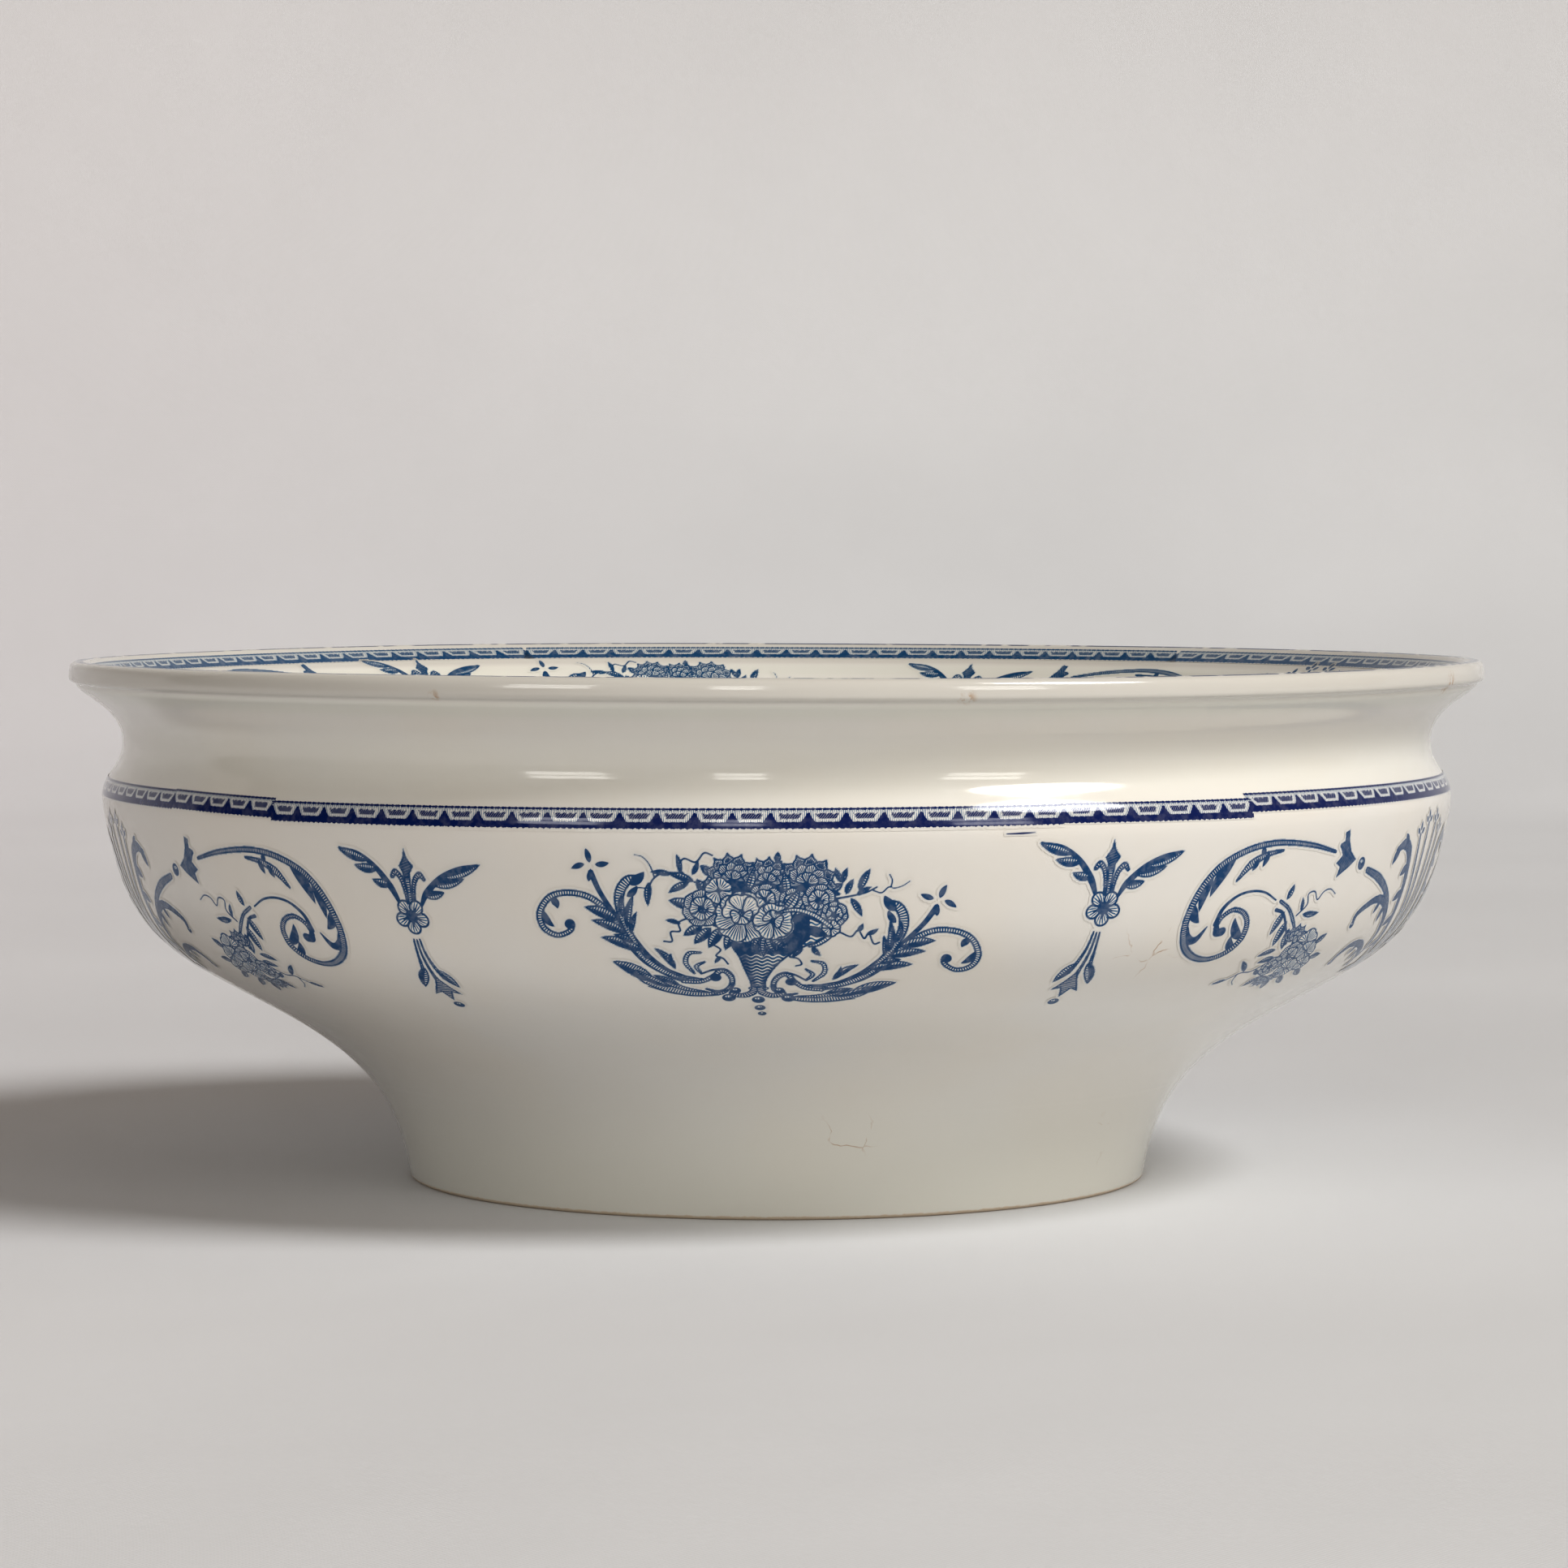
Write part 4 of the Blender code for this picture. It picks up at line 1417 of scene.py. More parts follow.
def engrave_scroll(burin: Burin) -> None:
    """The large C-scroll with its tulip, the bunch that hangs from it, and the stem that follows.

    Args:
        burin: The tool on the plate.
    """
    for base, tip, wide, bend in (((-15.0, 10.2), (-19.4, 17.6), 2.3, 0.16),
                                  ((-19.6, 13.2), (-21.0, 20.2), 2.0, 0.16),
                                  ((-22.6, 18.6), (-20.2, 22.4), 1.9, 0.30),
                                  ((-8.2, 26.2), (-11.9, 21.8), 1.9, -0.30),
                                  ((-8.8, 28.8), (-11.2, 25.6), 1.7, -0.30)):
        burin.leaf(base, tip, wide, bend, dark=True)
    burin.stroke([(-22.6, 23.2), (-21.6, 25.4), (-19.6, 25.9), (-18.0, 23.3)], (0.7, 1.7, 1.5, 0.25))
    burin.ribbon([(12, 10.8), (5, 9.3), (-3, 8.4), (-9, 8.6), (-14, 9.8), (-18.4, 12.0), (-21.4, 15.4),
                  (-23, 19.4), (-23.1, 23.2), (-21.4, 27), (-18, 29.6), (-14, 30.5), (-10.4, 29.2),
                  (-8.3, 26.4), (-8.4, 23.2), (-10.2, 21), (-13, 20.3), (-15.2, 21.6), (-15.9, 23.6)],
                 (0.6, 0.9, 1.05, 1.15, 1.2, 1.3, 1.4, 1.45, 1.45, 1.4, 1.3, 1.2, 1.3, 1.4, 1.15, 0.95,
                  0.9, 0.9, 0.9), 0.85)
    burin.stroke([(-16.0, 22.8), (-15.2, 24.5), (-14.0, 24.5)], (0.8, 1.6, 1.8))
    burin.stroke([(-16.2, 22.8), (-15.6, 20.0), (-13, 17.8), (-9.6, 17.0), (-6, 17.4), (-2.6, 19.0)],
                 (1.1, 0.8, 0.5, 0.42, 0.38, 0.28))
    burin.ribbon([(-3.5, 9.8), (-7.6, 10.4), (-11.2, 12.0), (-13.9, 14.8)], (0.5, 1.1, 1.6, 0.5), 0.8,
                 0.3)
    for base, tip in (((-7.0, 10.0), (-8.2, 12.6)), ((-9.4, 11.0), (-10.6, 13.2)),
                      ((-8.4, 10.4), (-8.8, 8.9))):
        burin.leaf(base, tip, 1.2, 0.0, dark=True)
    engrave_bunch(burin)
    # the tulip at the scroll's end, and its bead
    burin.shape([(19.4, 12.6), (17.2, 11.0), (16.0, 9.0), (15.6, 7.0), (14.4, 7.4), (14.6, 9.0),
                 (13.2, 9.5), (14.6, 11.6), (13.0, 13.0), (14.4, 13.7), (13.9, 15.7), (15.2, 15.0),
                 (17.2, 14.0)], 0.95, 0.34, angle=20.0, curved=False)
    burin.stroke([(13.4, 9.8), (15.8, 11.4), (17.6, 12.4)], (0.5, 0.9, 0.5))
    burin.bead((21.9, 13.5), 1.2)
    # the stem that runs on from the bead, with two curled leaves
    burin.ribbon([(24.8, 14.9), (30.6, 16.8), (35.8, 19.8), (39.4, 23.8), (41.0, 28.4), (40.8, 33.4),
                  (39.6, 37.6)], (1.2, 1.7, 1.5, 1.3, 1.1, 0.9, 0.6), 0.92)
    for level, reach in ((28.4, 15.6), (38.0, 13.0)):
        path = [(40.8, level), (39.0, level - 4.4), (35.4, level - 7.0), (31.2, level - 7.2),
                (41.6 - reach, level - 5.0), (41.2 - reach, level - 2.6)]
        burin.ribbon(path, (0.7, 1.4, 1.7, 1.4, 1.1, 0.8), 0.95)
        burin.leaf((37.6, level - 6.0), (36.4, level - 2.4), 1.5, 0.1, dark=True)
        burin.leaf((34.6, level - 6.8), (33.0, level - 4.4), 1.2, 0.1, dark=True)
        burin.bead((41.2 - reach, level - 2.6), 0.7)


def engrave_fan(burin: Burin) -> None:
    """Stems that fan out of one foot, between two curled acanthus leaves.

    Args:
        burin: The tool on the plate.
    """
    for mirror in (False, True):
        half = burin.moved(mirror=mirror)
        half.ribbon([(-1.4, 40.6), (-4.0, 35.4), (-6.8, 29.2), (-8.8, 22.6), (-10.0, 16.8), (-11.8, 12.6),
                     (-15.0, 10.9), (-18.4, 11.8)], (0.8, 1.2, 1.4, 1.6, 1.9, 2.2, 2.1, 1.1), 0.95)
        half.leaves((((-17.0, 11.4), (-19.4, 14.6), 1.8), ((-13.6, 11.2), (-15.6, 9.0), 1.5),
                     ((-10.4, 15.4), (-13.6, 17.0), 1.8), ((-9.2, 20.4), (-12.8, 22.0), 1.8),
                     ((-7.8, 25.6), (-11.2, 27.4), 1.7), ((-5.8, 31.0), (-8.8, 33.0), 1.6)), 0.12,
                    dark=True)
        for top_u, top_v, foot in ((-7.2, 9.6, -0.9), (-2.8, 7.6, -0.3)):
            half.ribbon([(foot, 40.0), (top_u * 0.42, 27.0), (top_u * 0.8, 16.0), (top_u, top_v)], (0.6,
                                                                                                    0.8,
                                                                                                    0.9,
                                                                                                    0.7),
                        0.9)
            for way_u, way_v in ((-0.3, -2.6), (-2.2, -1.2), (1.9, -1.2)):
                half.leaf((top_u + way_u * 0.3, top_v + way_v * 0.3), (top_u + way_u, top_v + way_v), 1.0,
                          dark=True)
        half.leaf((-1.0, 39.0), (-6.6, 40.4), 1.7, 0.15, 0.9)
    burin.petals((0.0, 37.6), 3.0, 5, -90.0, 0.95, 1.2)


@dataclass(frozen=True)
class PrintSize:
    """Reach of a motif's plate in millimetres, and how its drawing is made."""

    left: float
    right: float
    top: float
    bottom: float
    engrave: Callable[[Burin], None]
    family: str


SIZES = {
    Motif.CORNUCOPIA: PrintSize(-39.0, 41.0, 6.4, 44.2, engrave_cornucopia, "cornucopia"),
    Motif.SPRAY: PrintSize(-12.8, 17.4, 5.6, 42.0, engrave_spray, "spray"),
    Motif.SPRAY_TURNED: PrintSize(-12.8, 17.4, 5.6, 42.0, engrave_spray_turned, "spray"),
    Motif.SCROLL: PrintSize(-24.6, 42.0, 6.2, 42.6, engrave_scroll, "scroll"),
    Motif.FAN: PrintSize(-20.0, 20.0, 4.4, 42.2, engrave_fan, "fan"),
}


@dataclass(frozen=True)
class Laid:
    """One print: its number, degrees from the middle cornucopia, and how far it slipped down, in mm."""

    number: int
    angle: float
    mirror: bool = False
    drop: float = 0.0


@dataclass
class Side:
    """One side of the wall, ready to take prints.

    It has its outline, the level of its border, the way round that its prints run (1 or -1), the
    angle of its middle cornucopia, the size of its prints' cells, and each border strip's start
    in degrees and drop at both ends in millimetres.
    """

    name: str
    wall: Wall
    border_level: float
    way: float
    front: float
    grain: float
    joins: tuple[float, ...]
    tilts: tuple[tuple[float, float], ...]

    def bend(self, piece: bpy.types.Object, angle: float, mirror: bool, tilt: tuple[float, float],
             marks: ThrowingMarks, height: float) -> None:
        """Lays a flat print on the wall.

        Args:
            piece: The print, drawn flat with u along X and v down along -Y, in metres.
            angle: Degrees about Z of its origin, from the front towards +X.
            mirror: Whether it is printed the other way round.
            tilt: Drop at its left and at its right end, in millimetres.
            marks: Unevenness of the wall.
            height: Height of the form.
        """
        flat = places_of(piece)
        u, v = flat[:, 0] * (-1.0 if mirror else 1.0), -flat[:, 1]
        span = max(float(np.ptp(u)), MM)
        share = (u - u.min()) / span
        v = v + (tilt[0] + (tilt[1] - tilt[0]) * share) * MM
        radius, level = self.wall.at(self.wall.run_to(self.border_level) + v)
        theta = math.radians(angle) + self.way * u / radius
        places = np.stack([radius * np.sin(theta), -radius * np.cos(theta), level], axis=1)
        put_places(piece, marks.lay(places, height))
        if mirror:
            piece.data.flip_normals()


def cut_plate(name: str, size: tuple[float, float, float, float], grain: float,
              engrave: Callable[[Burin], None]) -> bpy.types.Object:
    """Engraves a flat print and trims its paper close to the ink.

    Args:
        name: Name of the piece.
        size: Left, right, top and bottom in millimetres.
        grain: Size of the mesh's cells in millimetres.
        engrave: Called with a Burin on the blank plate.

    Returns:
        The flat print, with its engraving as a point attribute.
    """
    left, right, top, bottom = size
    columns, rows = round((right - left) / grain), round((bottom - top) / grain)
    deselect()
    bpy.ops.mesh.primitive_grid_add(x_subdivisions=columns, y_subdivisions=rows, size=1.0, calc_uvs=False)
    piece = bpy.context.object
    piece.name = piece.data.name = name
    places = places_of(piece)
    u = left + (places[:, 0] + 0.5) * (right - left)
    v = top + (0.5 - places[:, 1]) * (bottom - top)
    put_places(piece, np.stack([u, -v, np.zeros_like(u)], axis=1) * MM)
    plate = Plate(u.reshape(rows + 1, columns + 1)[::-1], v.reshape(rows + 1, columns + 1)[::-1])
    engrave(Burin(plate))
    values = np.stack([plate.line, plate.tone, plate.phase, np.ones_like(u).reshape(plate.u.shape)], axis=2)
    values = values[::-1].reshape(-1, 4)
    mesh = piece.data
    layer = mesh.attributes.new("engraving", "FLOAT_COLOR", "POINT")
    layer.data.foreach_set("color", values.astype(np.float32).ravel())
    chart = mesh.uv_layers.new(name="OFBake")
    corner = np.empty(len(mesh.loops), np.int32)
    mesh.loops.foreach_get("vertex_index", corner)
    at = np.stack([(u - left) / (right - left), (bottom - v) / (bottom - top)], axis=1) * 0.996 + 0.002
    chart.data.foreach_set("uv", at[corner].astype(np.float32).ravel())
    inked = (values[:, 0] > 0.0) | (values[:, 1] > 0.0)
    blank = ~inked[corner.reshape(-1, 4)].any(axis=1)
    bpy.ops.object.mode_set(mode="EDIT")
    bpy.ops.mesh.select_mode(type="FACE")
    bpy.ops.mesh.select_all(action="DESELECT")
    bpy.ops.object.mode_set(mode="OBJECT")
    mesh.polygons.foreach_set("select", blank)
    bpy.ops.object.mode_set(mode="EDIT")
    bpy.ops.mesh.delete(type="FACE")
    bpy.ops.object.mode_set(mode="OBJECT")
    bpy.ops.object.shade_smooth()
    return piece


# millimetres: the border's tooth pitch, and how deep a strip must be to hold the stray line
TOOTH = 6.3
STRAY_LEVEL = 4.5


def engrave_border(burin: Burin, length: float) -> None:
    """The toothed border: trapezoid teeth between dark peaks over a solid band.

    Args:
        burin: The tool on the strip's plate.
        length: Length of the strip in millimetres.
    """
    plate = burin.plate
    u, v = plate.u, plate.v
    teeth = max(round(length / TOOTH), 1)
    pitch = length / teeth
    ragged = 0.07 * np.sin(u * 5.3) + 0.05 * np.sin(u * 11.7 + 1.0) + 0.04 * np.sin(u * 23.1 + 2.0)
    local = np.mod(u, pitch) - pitch / 2
    across = np.abs(local)
    # the band along the lower edge, and the peak that rises between two teeth
    gap = np.maximum(2.42 - v + ragged * 0.5, v - 3.5 + ragged)
    rise = np.clip((v - 0.85) / 1.6, 0.0, 1.0)
    peak = (pitch / 2 - across) - (0.25 + 0.95 * rise**1.3)
    peak = np.maximum(peak, np.maximum(0.85 - v, v - 2.6)) + ragged * 0.4
    gap = np.minimum(gap, peak)
    # the thin broken line along the upper edge
    broken = 0.10 * np.sin(u * 2.1) * np.sin(u * 7.9 + 0.6)
    gap = np.minimum(gap, np.abs(v - 0.14) - 0.17 + broken)
    plate.line[:] = plate.edge(gap)
    core = np.maximum(across - (2.0 - 0.55 * (v - 0.95)), np.maximum(0.92 - v, v - 1.92)) + ragged * 0.6
    frame_gap = np.maximum(across - (2.55 - 0.45 * (v - 0.6)), np.maximum(0.55 - v, v - 2.35))
    ground = (v > 0.2) & (v < 2.6)
    plate.tone[:] = np.where(ground, 0.36, 0.0)
    plate.tone[:] = np.where(ground & (frame_gap < 0), 0.13, plate.tone)
    plate.tone[:] = np.where(core < 0, 0.92, plate.tone)
    plate.phase[:] = np.where(core < 0, (u + v * 0.7) / 0.42, u / 0.31)
    if v.max() > STRAY_LEVEL:
        burin.stroke([(length - 10.4, 4.95), (length - 7.6, 4.9), (length - 5.2, 4.8)], (0.14, 0.3, 0.14))


@dataclass
class Decoration:
    """All the prints of the bowl, inside and out."""

    form: BowlForm
    marks: ThrowingMarks
    motif_ink: Ink = Ink("cobalt_print_under_glaze", (0.001, 0.060, 0.178), (0.005, 0.146, 0.325))
    border_ink: Ink = Ink("cobalt_border_under_glaze", (0.000, 0.014, 0.112), (0.010, 0.115, 0.262), 0.06)
    worn_ink: Ink = Ink("cobalt_inside_worn", (0.006, 0.070, 0.175), (0.030, 0.170, 0.310))
    lift: float = 0.06 * MM
    border_depth: float = 3.75
    border_margin: float = 0.12
    border_overlap: float = 0.25
    border_middle: float = 1.7
    border_grain: float = 0.21
    stray_depth: float = 1.6
    inner_rise: float = 3.0
    places: dict = field(default_factory=lambda: {
        Motif.CORNUCOPIA: (Laid(1, 0.0), Laid(2, 143.0, drop=0.3), Laid(3, 217.0, drop=-0.4)),
        Motif.SPRAY: (Laid(1, 27.1, drop=0.1), Laid(3, 170.0, drop=0.6), Laid(5, 244.0, drop=1.0)),
        Motif.SPRAY_TURNED: (Laid(2, 114.2), Laid(4, 188.2), Laid(6, 330.9, drop=2.0)),
        Motif.SCROLL: (Laid(1, 46.8), Laid(2, 96.2, True, 0.6), Laid(3, 263.8), Laid(4, 313.2, True, 1.6)),
        Motif.FAN: (Laid(1, 71.5), Laid(2, 288.5, drop=0.8))})

    def inks(self) -> tuple[Ink, ...]:
        """Every ink that the prints use."""
        return self.motif_ink, self.border_ink, self.worn_ink

    def sides(self) -> list[Side]:
        """The outside and the inside of the wall, ready to take prints.

        Returns:
            The two sides.
        """
        outside = Wall(self.form.outside(FINE)).moved(-self.lift)
        inside = Wall(self.form.inside(FINE)).moved(self.lift)
        top = self.form.height
        return [
            Side("outer", outside, top - 21.9 * MM, 1.0, -1.6, 0.2,
                 (-43.0, 22.2, 39.8, 105.0, 170.2, 235.4, 303.0),
                 ((0.9, 0.0), (-0.15, 0.1), (-0.9, -0.6), (0.0, 0.25), (0.2, -0.1), (0.0, 0.15), (0.0, 0.4))),
            Side("inner", inside, top - 0.9 * MM, -1.0, 190.7, 0.28,
                 (9.0, 74.2, 139.4, 204.6, 269.8, 335.0),
                 ((0.1, 0.0), (0.0, 0.2), (0.1, 0.0), (0.0, 0.1), (0.15, 0.0), (0.0, 0.3))),
        ]

    def build(self) -> list[tuple[bpy.types.Object, str, Ink]]:
        """Engraves and lays every print.

        Returns:
            Each piece, the CAD node that it stands for and its ink.
        """
        laid = []
        for side in self.sides():
            laid += self._lay_borders(side)
            laid += self._lay_motifs(side)
        return laid

    def _lay_borders(self, side: Side) -> list[tuple[bpy.types.Object, str, Ink]]:
        """Lays the strips of the toothed border.

        Args:
            side: The side of the wall.

        Returns:
            Each strip, the CAD node that it stands for and its ink.
        """
        made = []
        middle_run = side.wall.run_to(side.border_level) + self.border_middle * MM
        middle = float(side.wall.at(np.array([middle_run]))[0][0])
        for index, join in enumerate(side.joins):
            following = side.joins[(index + 1) % len(side.joins)]
            span = (following - join) % 360.0
            length = math.radians(span) * middle / MM
            node = f"{side.name}_border_strip_{index + 1}"
            # the first outer strip is deeper, for the stray line under it
            depth = self.border_depth + (self.stray_depth if index == 0 and side.name == "outer" else 0.0)
            reach = (-self.border_overlap, length + self.border_overlap, -self.border_margin, depth)
            piece = cut_plate(node + "_fired", reach, self.border_grain,
                              lambda burin, long=length: engrave_border(burin, long))
            shift = places_of(piece)
            shift[:, 0] -= length / 2 * MM
            put_places(piece, shift)
            angle = join + span / 2
            side.bend(piece, angle, False, side.tilts[index], self.marks, self.form.height)
            made.append((piece, node, self.border_ink if side.name == "outer" else self.worn_ink))
        return made

    def _lay_motifs(self, side: Side) -> list[tuple[bpy.types.Object, str, Ink]]:
        """Lays the cut-out motifs round the wall.

        Args:
            side: The side of the wall.

        Returns:
            Each print, the CAD node that it stands for and its ink.
        """
        made = []
        rise = 0.0 if side.name == "outer" else self.inner_rise
        for motif, places in self.places.items():
            size = SIZES[motif]
            reach = (size.left, size.right, size.top, size.bottom)
            first = cut_plate(f"{side.name}_{motif.value}_plate", reach, side.grain, size.engrave)
            flat = first.data.copy()
            for place in places:
                node = f"{side.name}_{size.family}_print_{place.number}"
                piece = first
                if place is not places[0]:
                    piece = bpy.data.objects.new(node, flat.copy())
                    bpy.context.scene.collection.objects.link(piece)
                piece.name = piece.data.name = node + "_fired"
                drop = place.drop - rise
                side.bend(piece, side.front + place.angle, place.mirror, (drop, drop), self.marks,
                          self.form.height)
                made.append((piece, node, self.motif_ink if side.name == "outer" else self.worn_ink))
            bpy.data.meshes.remove(flat)
        return made


# ---------------------------------------------------------------------------------------------
# Clay


@dataclass
class Clay:
    """The thrown bowl and the foot ring luted under it."""

    form: BowlForm
    marks: ThrowingMarks
    soft_crease: float = 0.7 * MM
    soft_crest: float = 0.8 * MM

    def build_bowl(self) -> bpy.types.Object:
        """The bowl, from the middle of its well over the rim and down to the foot.

        Returns:
            The finished piece.
        """
        form = self.form
        inside = form.inside(form.detail)
        outside = form.outside(form.detail)
        outside = outside[outside[:, 1] > form.foot_height]
        whole = form.outside(FINE)
        seam = [np.interp(-form.foot_height, -whole[:, 1], whole[:, 0]), form.foot_height]
        crease = len(inside) - 1 + 3 * form.detail
        section = np.vstack([inside[::-1], outside[1:], [seam], [[0.0, form.foot_height]]])
        section = soften(section, crease, self.soft_crease)
        section = soften(section, len(inside) - 1, self.soft_crest)
        piece = throw_form("bowl_glazed", section, form.turns)
        put_places(piece, self.marks.lay(places_of(piece), form.height))
        return piece

    def build_foot(self) -> bpy.types.Object:
        """The foot ring, glazed but for the narrow face that it stands on.

        Returns:
            The finished piece.
        """
        form = self.form
        whole = form.outside(FINE)
        levels = np.linspace(form.foot_height, form.foot_edge, 22)
        outer = np.stack([np.interp(-levels, -whole[:, 1], whole[:, 0]), levels], axis=1)
        inner_base = form.foot_radius - form.foot_wall
        inner_top = outer[0][0] - form.foot_top_wall

        def corner(centre: float, start: float, end: float) -> list[np.ndarray]:
            """A rounded edge of the foot's face, about a radius, from one angle to another."""
            edge = form.foot_edge
            return [np.array([centre + edge * math.cos(a), edge + edge * math.sin(a)])
                    for a in np.radians(np.linspace(start, end, 6))]

        outer_round = corner(outer[-1][0] - form.foot_edge, 0.0, -90.0)
        inner_round = corner(inner_base + form.foot_edge, -90.0, -180.0)
        rise = [np.array([inner_base + (inner_top - inner_base) * t**1.6, form.foot_edge
                          + (form.foot_height - form.foot_edge) * t]) for t in np.linspace(0.1, 1.0, 12)]
        section = np.vstack([outer, outer_round[1:], inner_round, rise, outer[:1]])
        piece = throw_form("foot_ring_glazed", section, form.turns)
        put_places(piece, self.marks.lay(places_of(piece), form.height))
        return piece


# ---------------------------------------------------------------------------------------------
# Studio


def way_to(azimuth: float, elevation: float) -> Vector:
    """The direction towards a light.

    Args:
        azimuth: Degrees from the front towards +X.
        elevation: Degrees above the table.

    Returns:
        The direction, one long.
    """
    turn, rise = math.radians(azimuth), math.radians(elevation)
    return Vector((math.sin(turn) * math.cos(rise), -math.cos(turn) * math.cos(rise), math.sin(rise)))


@dataclass(frozen=True)
class Lamp:
    """A soft window pane, aimed at the bowl. Angles in degrees, sizes in metres."""

    name: str
    azimuth: float
    elevation: float
    distance: float
    width: float
    height: float
    watts: float
    colour: Colour = (1.0, 0.985, 0.955)
    aim: float = 0.05

    def hang(self) -> None:
        """Hangs it at its distance from the bowl's middle."""
        data = bpy.data.lights.new(self.name, "AREA")
        data.shape = "RECTANGLE"
        data.size, data.size_y = self.width, self.height
        data.energy, data.color = self.watts, self.colour
        lamp = bpy.data.objects.new(self.name, data)
        bpy.context.scene.collection.objects.link(lamp)
        way = way_to(self.azimuth, self.elevation)
        lamp.location = Vector((0.0, 0.0, self.aim)) + way * self.distance
        lamp.rotation_euler = (-way).to_track_quat("-Z", "Y").to_euler()


@dataclass
class Studio:
    """The cloth that the bowl stands on, the light and the camera."""

    linen: Colour = (0.688, 0.70, 0.715)
    rosy: Colour = (0.705, 0.690, 0.712)
    far_cloth: Colour = (0.80, 0.80, 0.81)
    haze: Colour = (0.595, 0.575, 0.562)
    daylight: float = 2.18
    front_light: float = 0.17
    room_dim: float = 0.05
    room_bright: float = 0.43
    dim_tint: Colour = (1.0, 0.78, 0.58)
    bright_tint: Colour = (1.0, 0.94, 0.88)
    gamma: float = 0.8
    cloth_size: tuple[float, float] = (10.0, 5.2)
    cloth_shift: float = -1.4
    cloth_back: float = 1.2
    sweep_radius: float = 0.9
    sweep_steps: int = 12
    cloth_rise: float = 2.2
    thread: float = 0.85 * MM
    lens: float = 115.06
    sensor: float = 36.0
    shift: float = 0.00466
    camera_back: float = 0.96334
    camera_level: float = 0.12261
    camera_dip: float = 2.841
    lamps: tuple[Lamp, ...] = tuple(
        Lamp(f"window_pane_{side}_{row}", azimuth, elevation, 2.2, width, 0.24, watts)
        for side, azimuth, width, watts in (("left", -35.0, 0.5, 2.7), ("middle", -6.0, 0.3, 1.62),
                                            ("right", 35.0, 0.5, 2.7))
        for row, elevation in (("low", 13.5), ("high", 21.5)))

    def lay_cloth(self) -> bpy.types.Object:
        """A cloth that runs under the bowl and up behind it in one sweep.

        Returns:
            The cloth.
        """
        deselect()
        bpy.ops.mesh.primitive_plane_add(size=1.0, location=(0.0, 0.0, 0.0))
        cloth = bpy.context.object
        cloth.name = cloth.data.name = "studio_cloth"
        bpy.ops.object.mode_set(mode="EDIT")
        bpy.ops.transform.resize(value=(*self.cloth_size, 1.0))
        bpy.ops.transform.translate(value=(0.0, self.cloth_shift, 0.0))
        bpy.ops.mesh.select_mode(type="EDGE")
        bpy.ops.object.mode_set(mode="OBJECT")
        mesh = cloth.data
        for part in (mesh.polygons, mesh.edges, mesh.vertices):
            for item in part:
                item.select = False
        for edge in mesh.edges:
            edge.select = all(mesh.vertices[i].co.y > 1.0 for i in edge.vertices)
        bpy.ops.object.mode_set(mode="EDIT")
        here = np.array([self.cloth_back, 0.0])
        reach = self.sweep_radius
        for step in range(1, self.sweep_steps + 1):
            turn = math.radians(90.0 * step / self.sweep_steps)
            there = np.array([self.cloth_back + reach * math.sin(turn), reach - reach * math.cos(turn)])
            move = there - here
            bpy.ops.mesh.extrude_region_move(TRANSFORM_OT_translate={"value": (0.0, move[0], move[1])})
            here = there
        bpy.ops.mesh.extrude_region_move(TRANSFORM_OT_translate={"value": (0.0, 0.0, self.cloth_rise)})
        bpy.ops.mesh.select_all(action="SELECT")
        bpy.ops.mesh.normals_make_consistent(inside=False)
        bpy.ops.object.mode_set(mode="OBJECT")
        bpy.ops.object.shade_smooth()
        cloth.data.materials.append(self.cloth_material())
        return cloth

    def cloth_material(self) -> bpy.types.Material:
        """Pale cotton with a fine weave, slow creases and painted light and shade of soft folds.

        Returns:
            The material.
        """
        graph = Graph("studio_cotton")
        place = graph.place()
        axes = graph.node("ShaderNodeSeparateXYZ", {}, {0: place})
        warp, weft = ((graph.sum(axes.outputs[axis]) * (math.tau / self.thread)).sine() for axis in "XY")
        weave = warp * weft
        creases = graph.noise(place, 5.0, 3.0)
        height = weave * 0.05 + creases * 6.0
        bump = graph.node("ShaderNodeBump", {}, {"Strength": 0.5, "Distance": MM, "Height": height})
        # painted light and shade of soft folds: slow patches of the cloth are made a little paler
        pale = tuple(c * 1.06 for c in self.linen)
        colour = graph.mix(graph.noise(place, 2.6, 2.0).step(0.35, 0.65), self.linen, pale)
        left = graph.sum(axes.outputs["X"]).step(-0.5, 0.1, 0.7, 0.0)
        colour = graph.mix(left, colour, self.rosy)
        colour = graph.mix(graph.sum(axes.outputs["Z"]).step(0.05, 0.5, 0.0, 0.6), colour, self.far_cloth)
        graph.feed(graph.shader.inputs["Base Color"], colour)
        graph.feed(graph.shader.inputs["Normal"], bump.outputs["Normal"])
        graph.shader.inputs["Roughness"].default_value = 0.85
        graph.shader.inputs["Specular IOR Level"].default_value = 0.15
        return graph.material

    def hang_sun(self, name: str, azimuth: float, elevation: float, strength: float, spread: float,
                 colour: Colour) -> None:
        """Adds far daylight, soft over its spread.

        Args:
            name: Name of the light.
            azimuth: Degrees from the front towards +X.
            elevation: Degrees above the table.
            strength: Light that it gives.
            spread: Degrees that it fills.
            colour: Its colour.
        """
        data = bpy.data.lights.new(name, "SUN")
        data.energy, data.angle, data.color = strength, math.radians(spread), colour
        sun = bpy.data.objects.new(name, data)
        bpy.context.scene.collection.objects.link(sun)
        sun.rotation_euler = (-way_to(azimuth, elevation)).to_track_quat("-Z", "Y").to_euler()

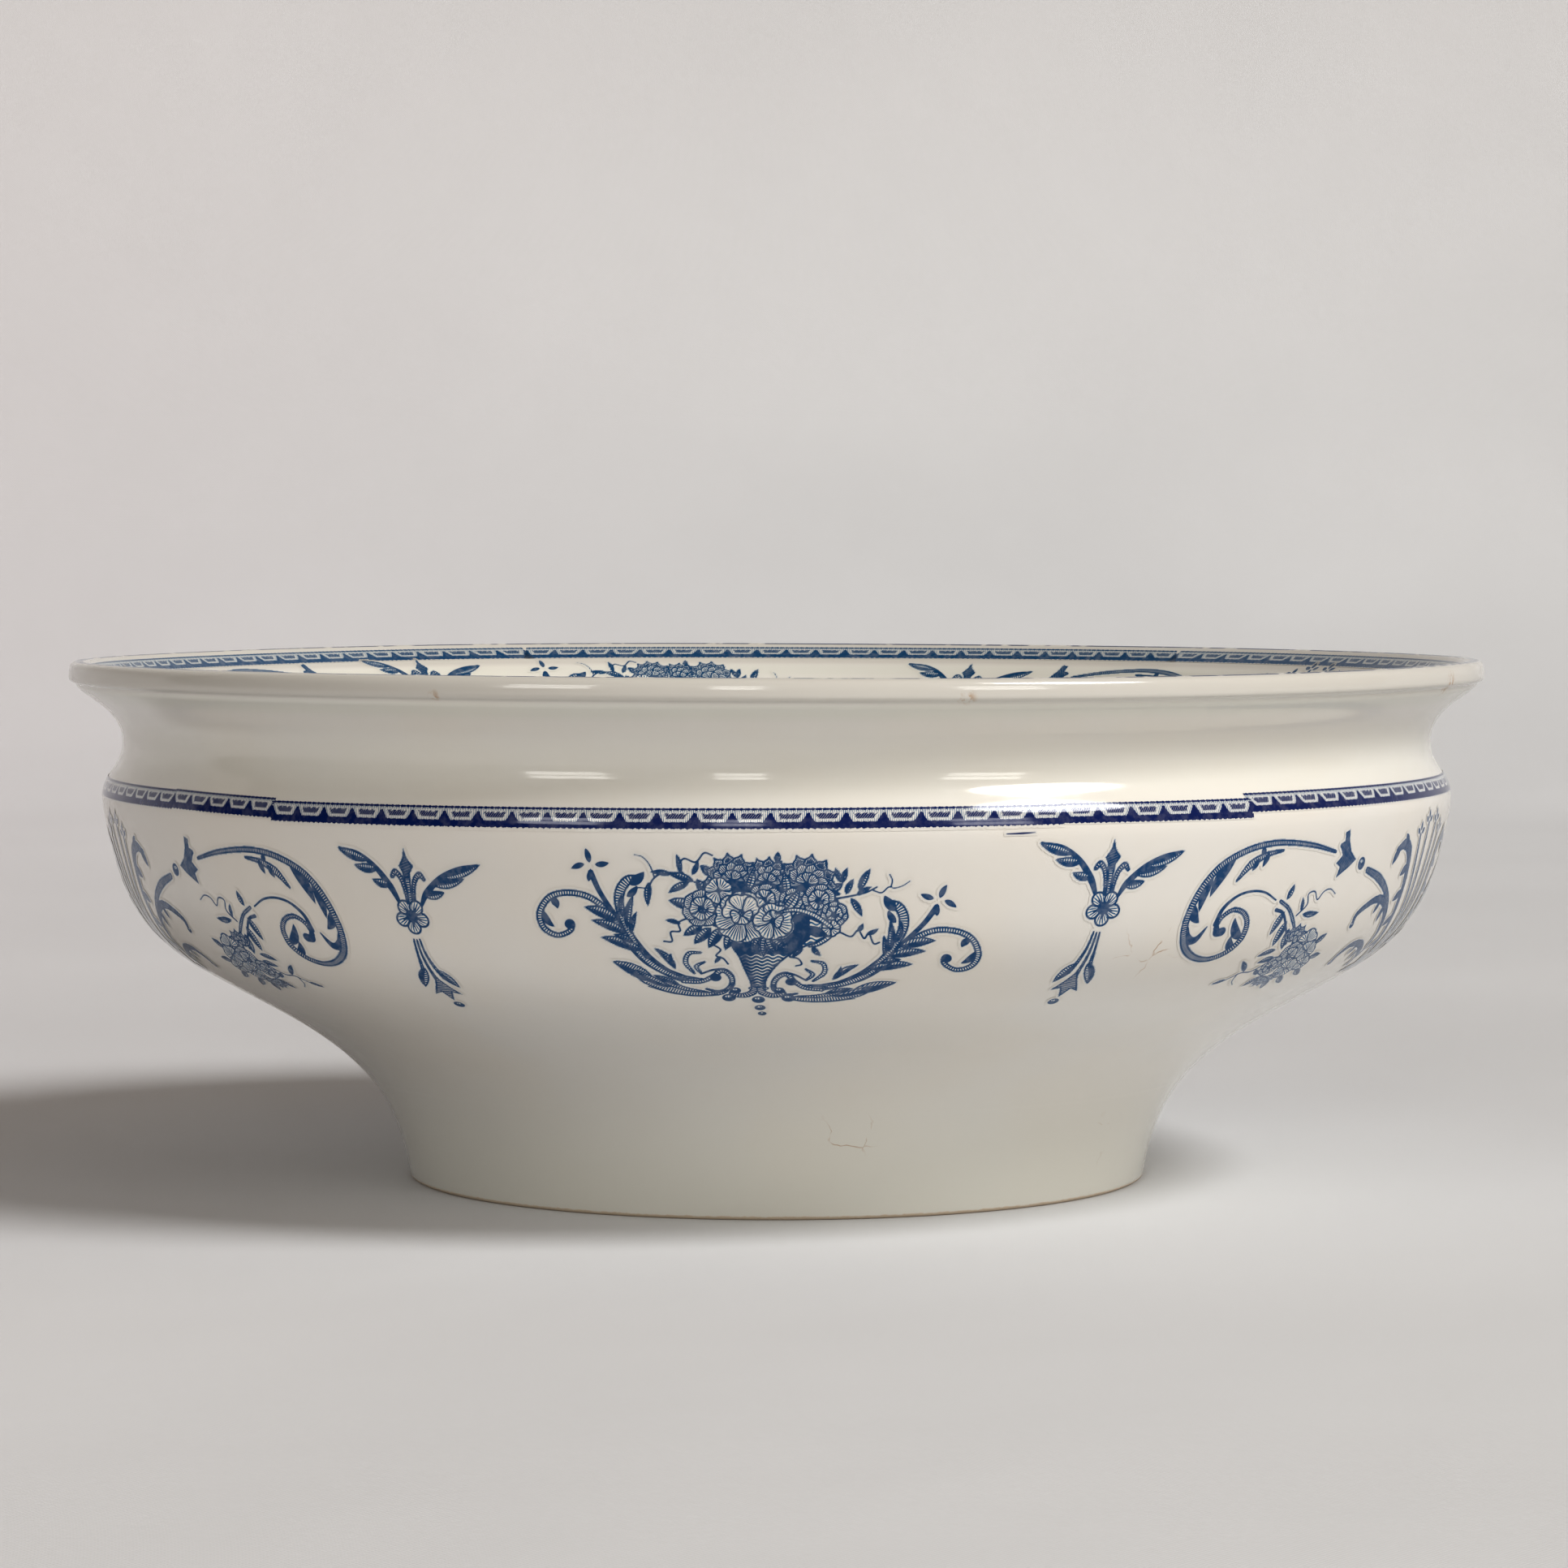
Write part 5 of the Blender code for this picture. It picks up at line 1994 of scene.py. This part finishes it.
    def light(self) -> None:
        """A window at the right, a weak front, panes that gleam in the glaze and a room dim at the left."""
        self.hang_sun("window_right", 58.0, 46.0, self.daylight, 22.0, (1.0, 0.995, 0.985))
        self.hang_sun("room_front", -6.0, 6.0, self.front_light, 60.0, (1.0, 0.97, 0.92))
        for lamp in self.lamps:
            lamp.hang()
        world = bpy.data.worlds.new("room")
        world.use_nodes = True
        tree = world.node_tree
        background = tree.nodes["Background"]
        way = tree.nodes.new("ShaderNodeSeparateXYZ")
        tree.links.new(tree.nodes.new("ShaderNodeTexCoord").outputs["Generated"], way.inputs[0])
        across = tree.nodes.new("ShaderNodeMapRange")
        tree.links.new(way.outputs["X"], across.inputs["Value"])
        for name, value in (("From Min", -1.0), ("From Max", 1.0), ("To Min", self.room_dim),
                            ("To Max", self.room_bright)):
            across.inputs[name].default_value = value
        seen = tree.nodes.new("ShaderNodeLightPath").outputs["Is Camera Ray"]
        power = tree.nodes.new("ShaderNodeMix")
        power.inputs[3].default_value = 1.0
        tree.links.new(seen, power.inputs[0])
        tree.links.new(across.outputs["Result"], power.inputs[2])
        tree.links.new(power.outputs[0], background.inputs["Strength"])
        tint = tree.nodes.new("ShaderNodeMix")
        tint.data_type = "RGBA"
        tint.inputs[6].default_value = (*self.dim_tint, 1.0)
        tint.inputs[7].default_value = (*self.bright_tint, 1.0)
        tree.links.new(across.outputs["Result"], tint.inputs[0])
        shown = tree.nodes.new("ShaderNodeMix")
        shown.data_type = "RGBA"
        tree.links.new(seen, shown.inputs[0])
        tree.links.new(tint.outputs[2], shown.inputs[6])
        shown.inputs[7].default_value = (*self.haze, 1.0)
        tree.links.new(shown.outputs[2], background.inputs["Color"])
        bpy.context.scene.world = world
        bpy.context.scene.view_settings.view_transform = "Standard"
        bpy.context.scene.view_settings.gamma = self.gamma

    def camera(self) -> None:
        """The camera, a little above the rim."""
        data = bpy.data.cameras.new("studio_camera")
        data.lens, data.sensor_width = self.lens, self.sensor
        data.shift_x = self.shift
        data.dof.use_dof = False
        camera = bpy.data.objects.new("studio_camera", data)
        bpy.context.scene.collection.objects.link(camera)
        camera.location = (0.0, -self.camera_back, self.camera_level)
        camera.rotation_euler = (math.radians(90.0 - self.camera_dip), 0.0, 0.0)
        bpy.context.scene.camera = camera


def hand_over(piece: bpy.types.Object, slot: str, *nodes: str) -> None:
    """Puts a finished piece under the bowl's body, hides the CAD nodes that it stands for and logs it.

    Args:
        piece: The piece.
        slot: A material slot's name, not used.
        nodes: The CAD nodes that it stands for.
    """
    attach(piece, BODY)
    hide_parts(*nodes)
    LOG.info("%s stands for %s, %d faces", piece.name, ", ".join(nodes), len(piece.data.polygons))


def main() -> None:
    """Builds the bowl, its prints and the studio."""
    logging.basicConfig(level=logging.INFO, format="%(message)s")
    form, marks, glaze = BowlForm(), ThrowingMarks(), Glaze()
    studio = Studio()
    studio.camera()
    studio.light()
    studio.lay_cloth()

    clay = Clay(form, marks)
    coat = glaze.material()
    bowl, foot = clay.build_bowl(), clay.build_foot()
    for piece in (bowl, foot):
        piece.data.materials.clear()
        piece.data.materials.append(coat)
    hand_over(bowl, "ivory_glaze", "bowl")
    hand_over(foot, "ivory_glaze", "foot_ring", "slip_joint")

    decoration = Decoration(form, marks)
    inks = {ink.name: ink.material(glaze) for ink in decoration.inks()}
    for piece, node, ink in decoration.build():
        piece.data.materials.clear()
        piece.data.materials.append(inks[ink.name])
        hand_over(piece, "blue_print", node)

    deselect()


if __name__ == "__main__":
    main()
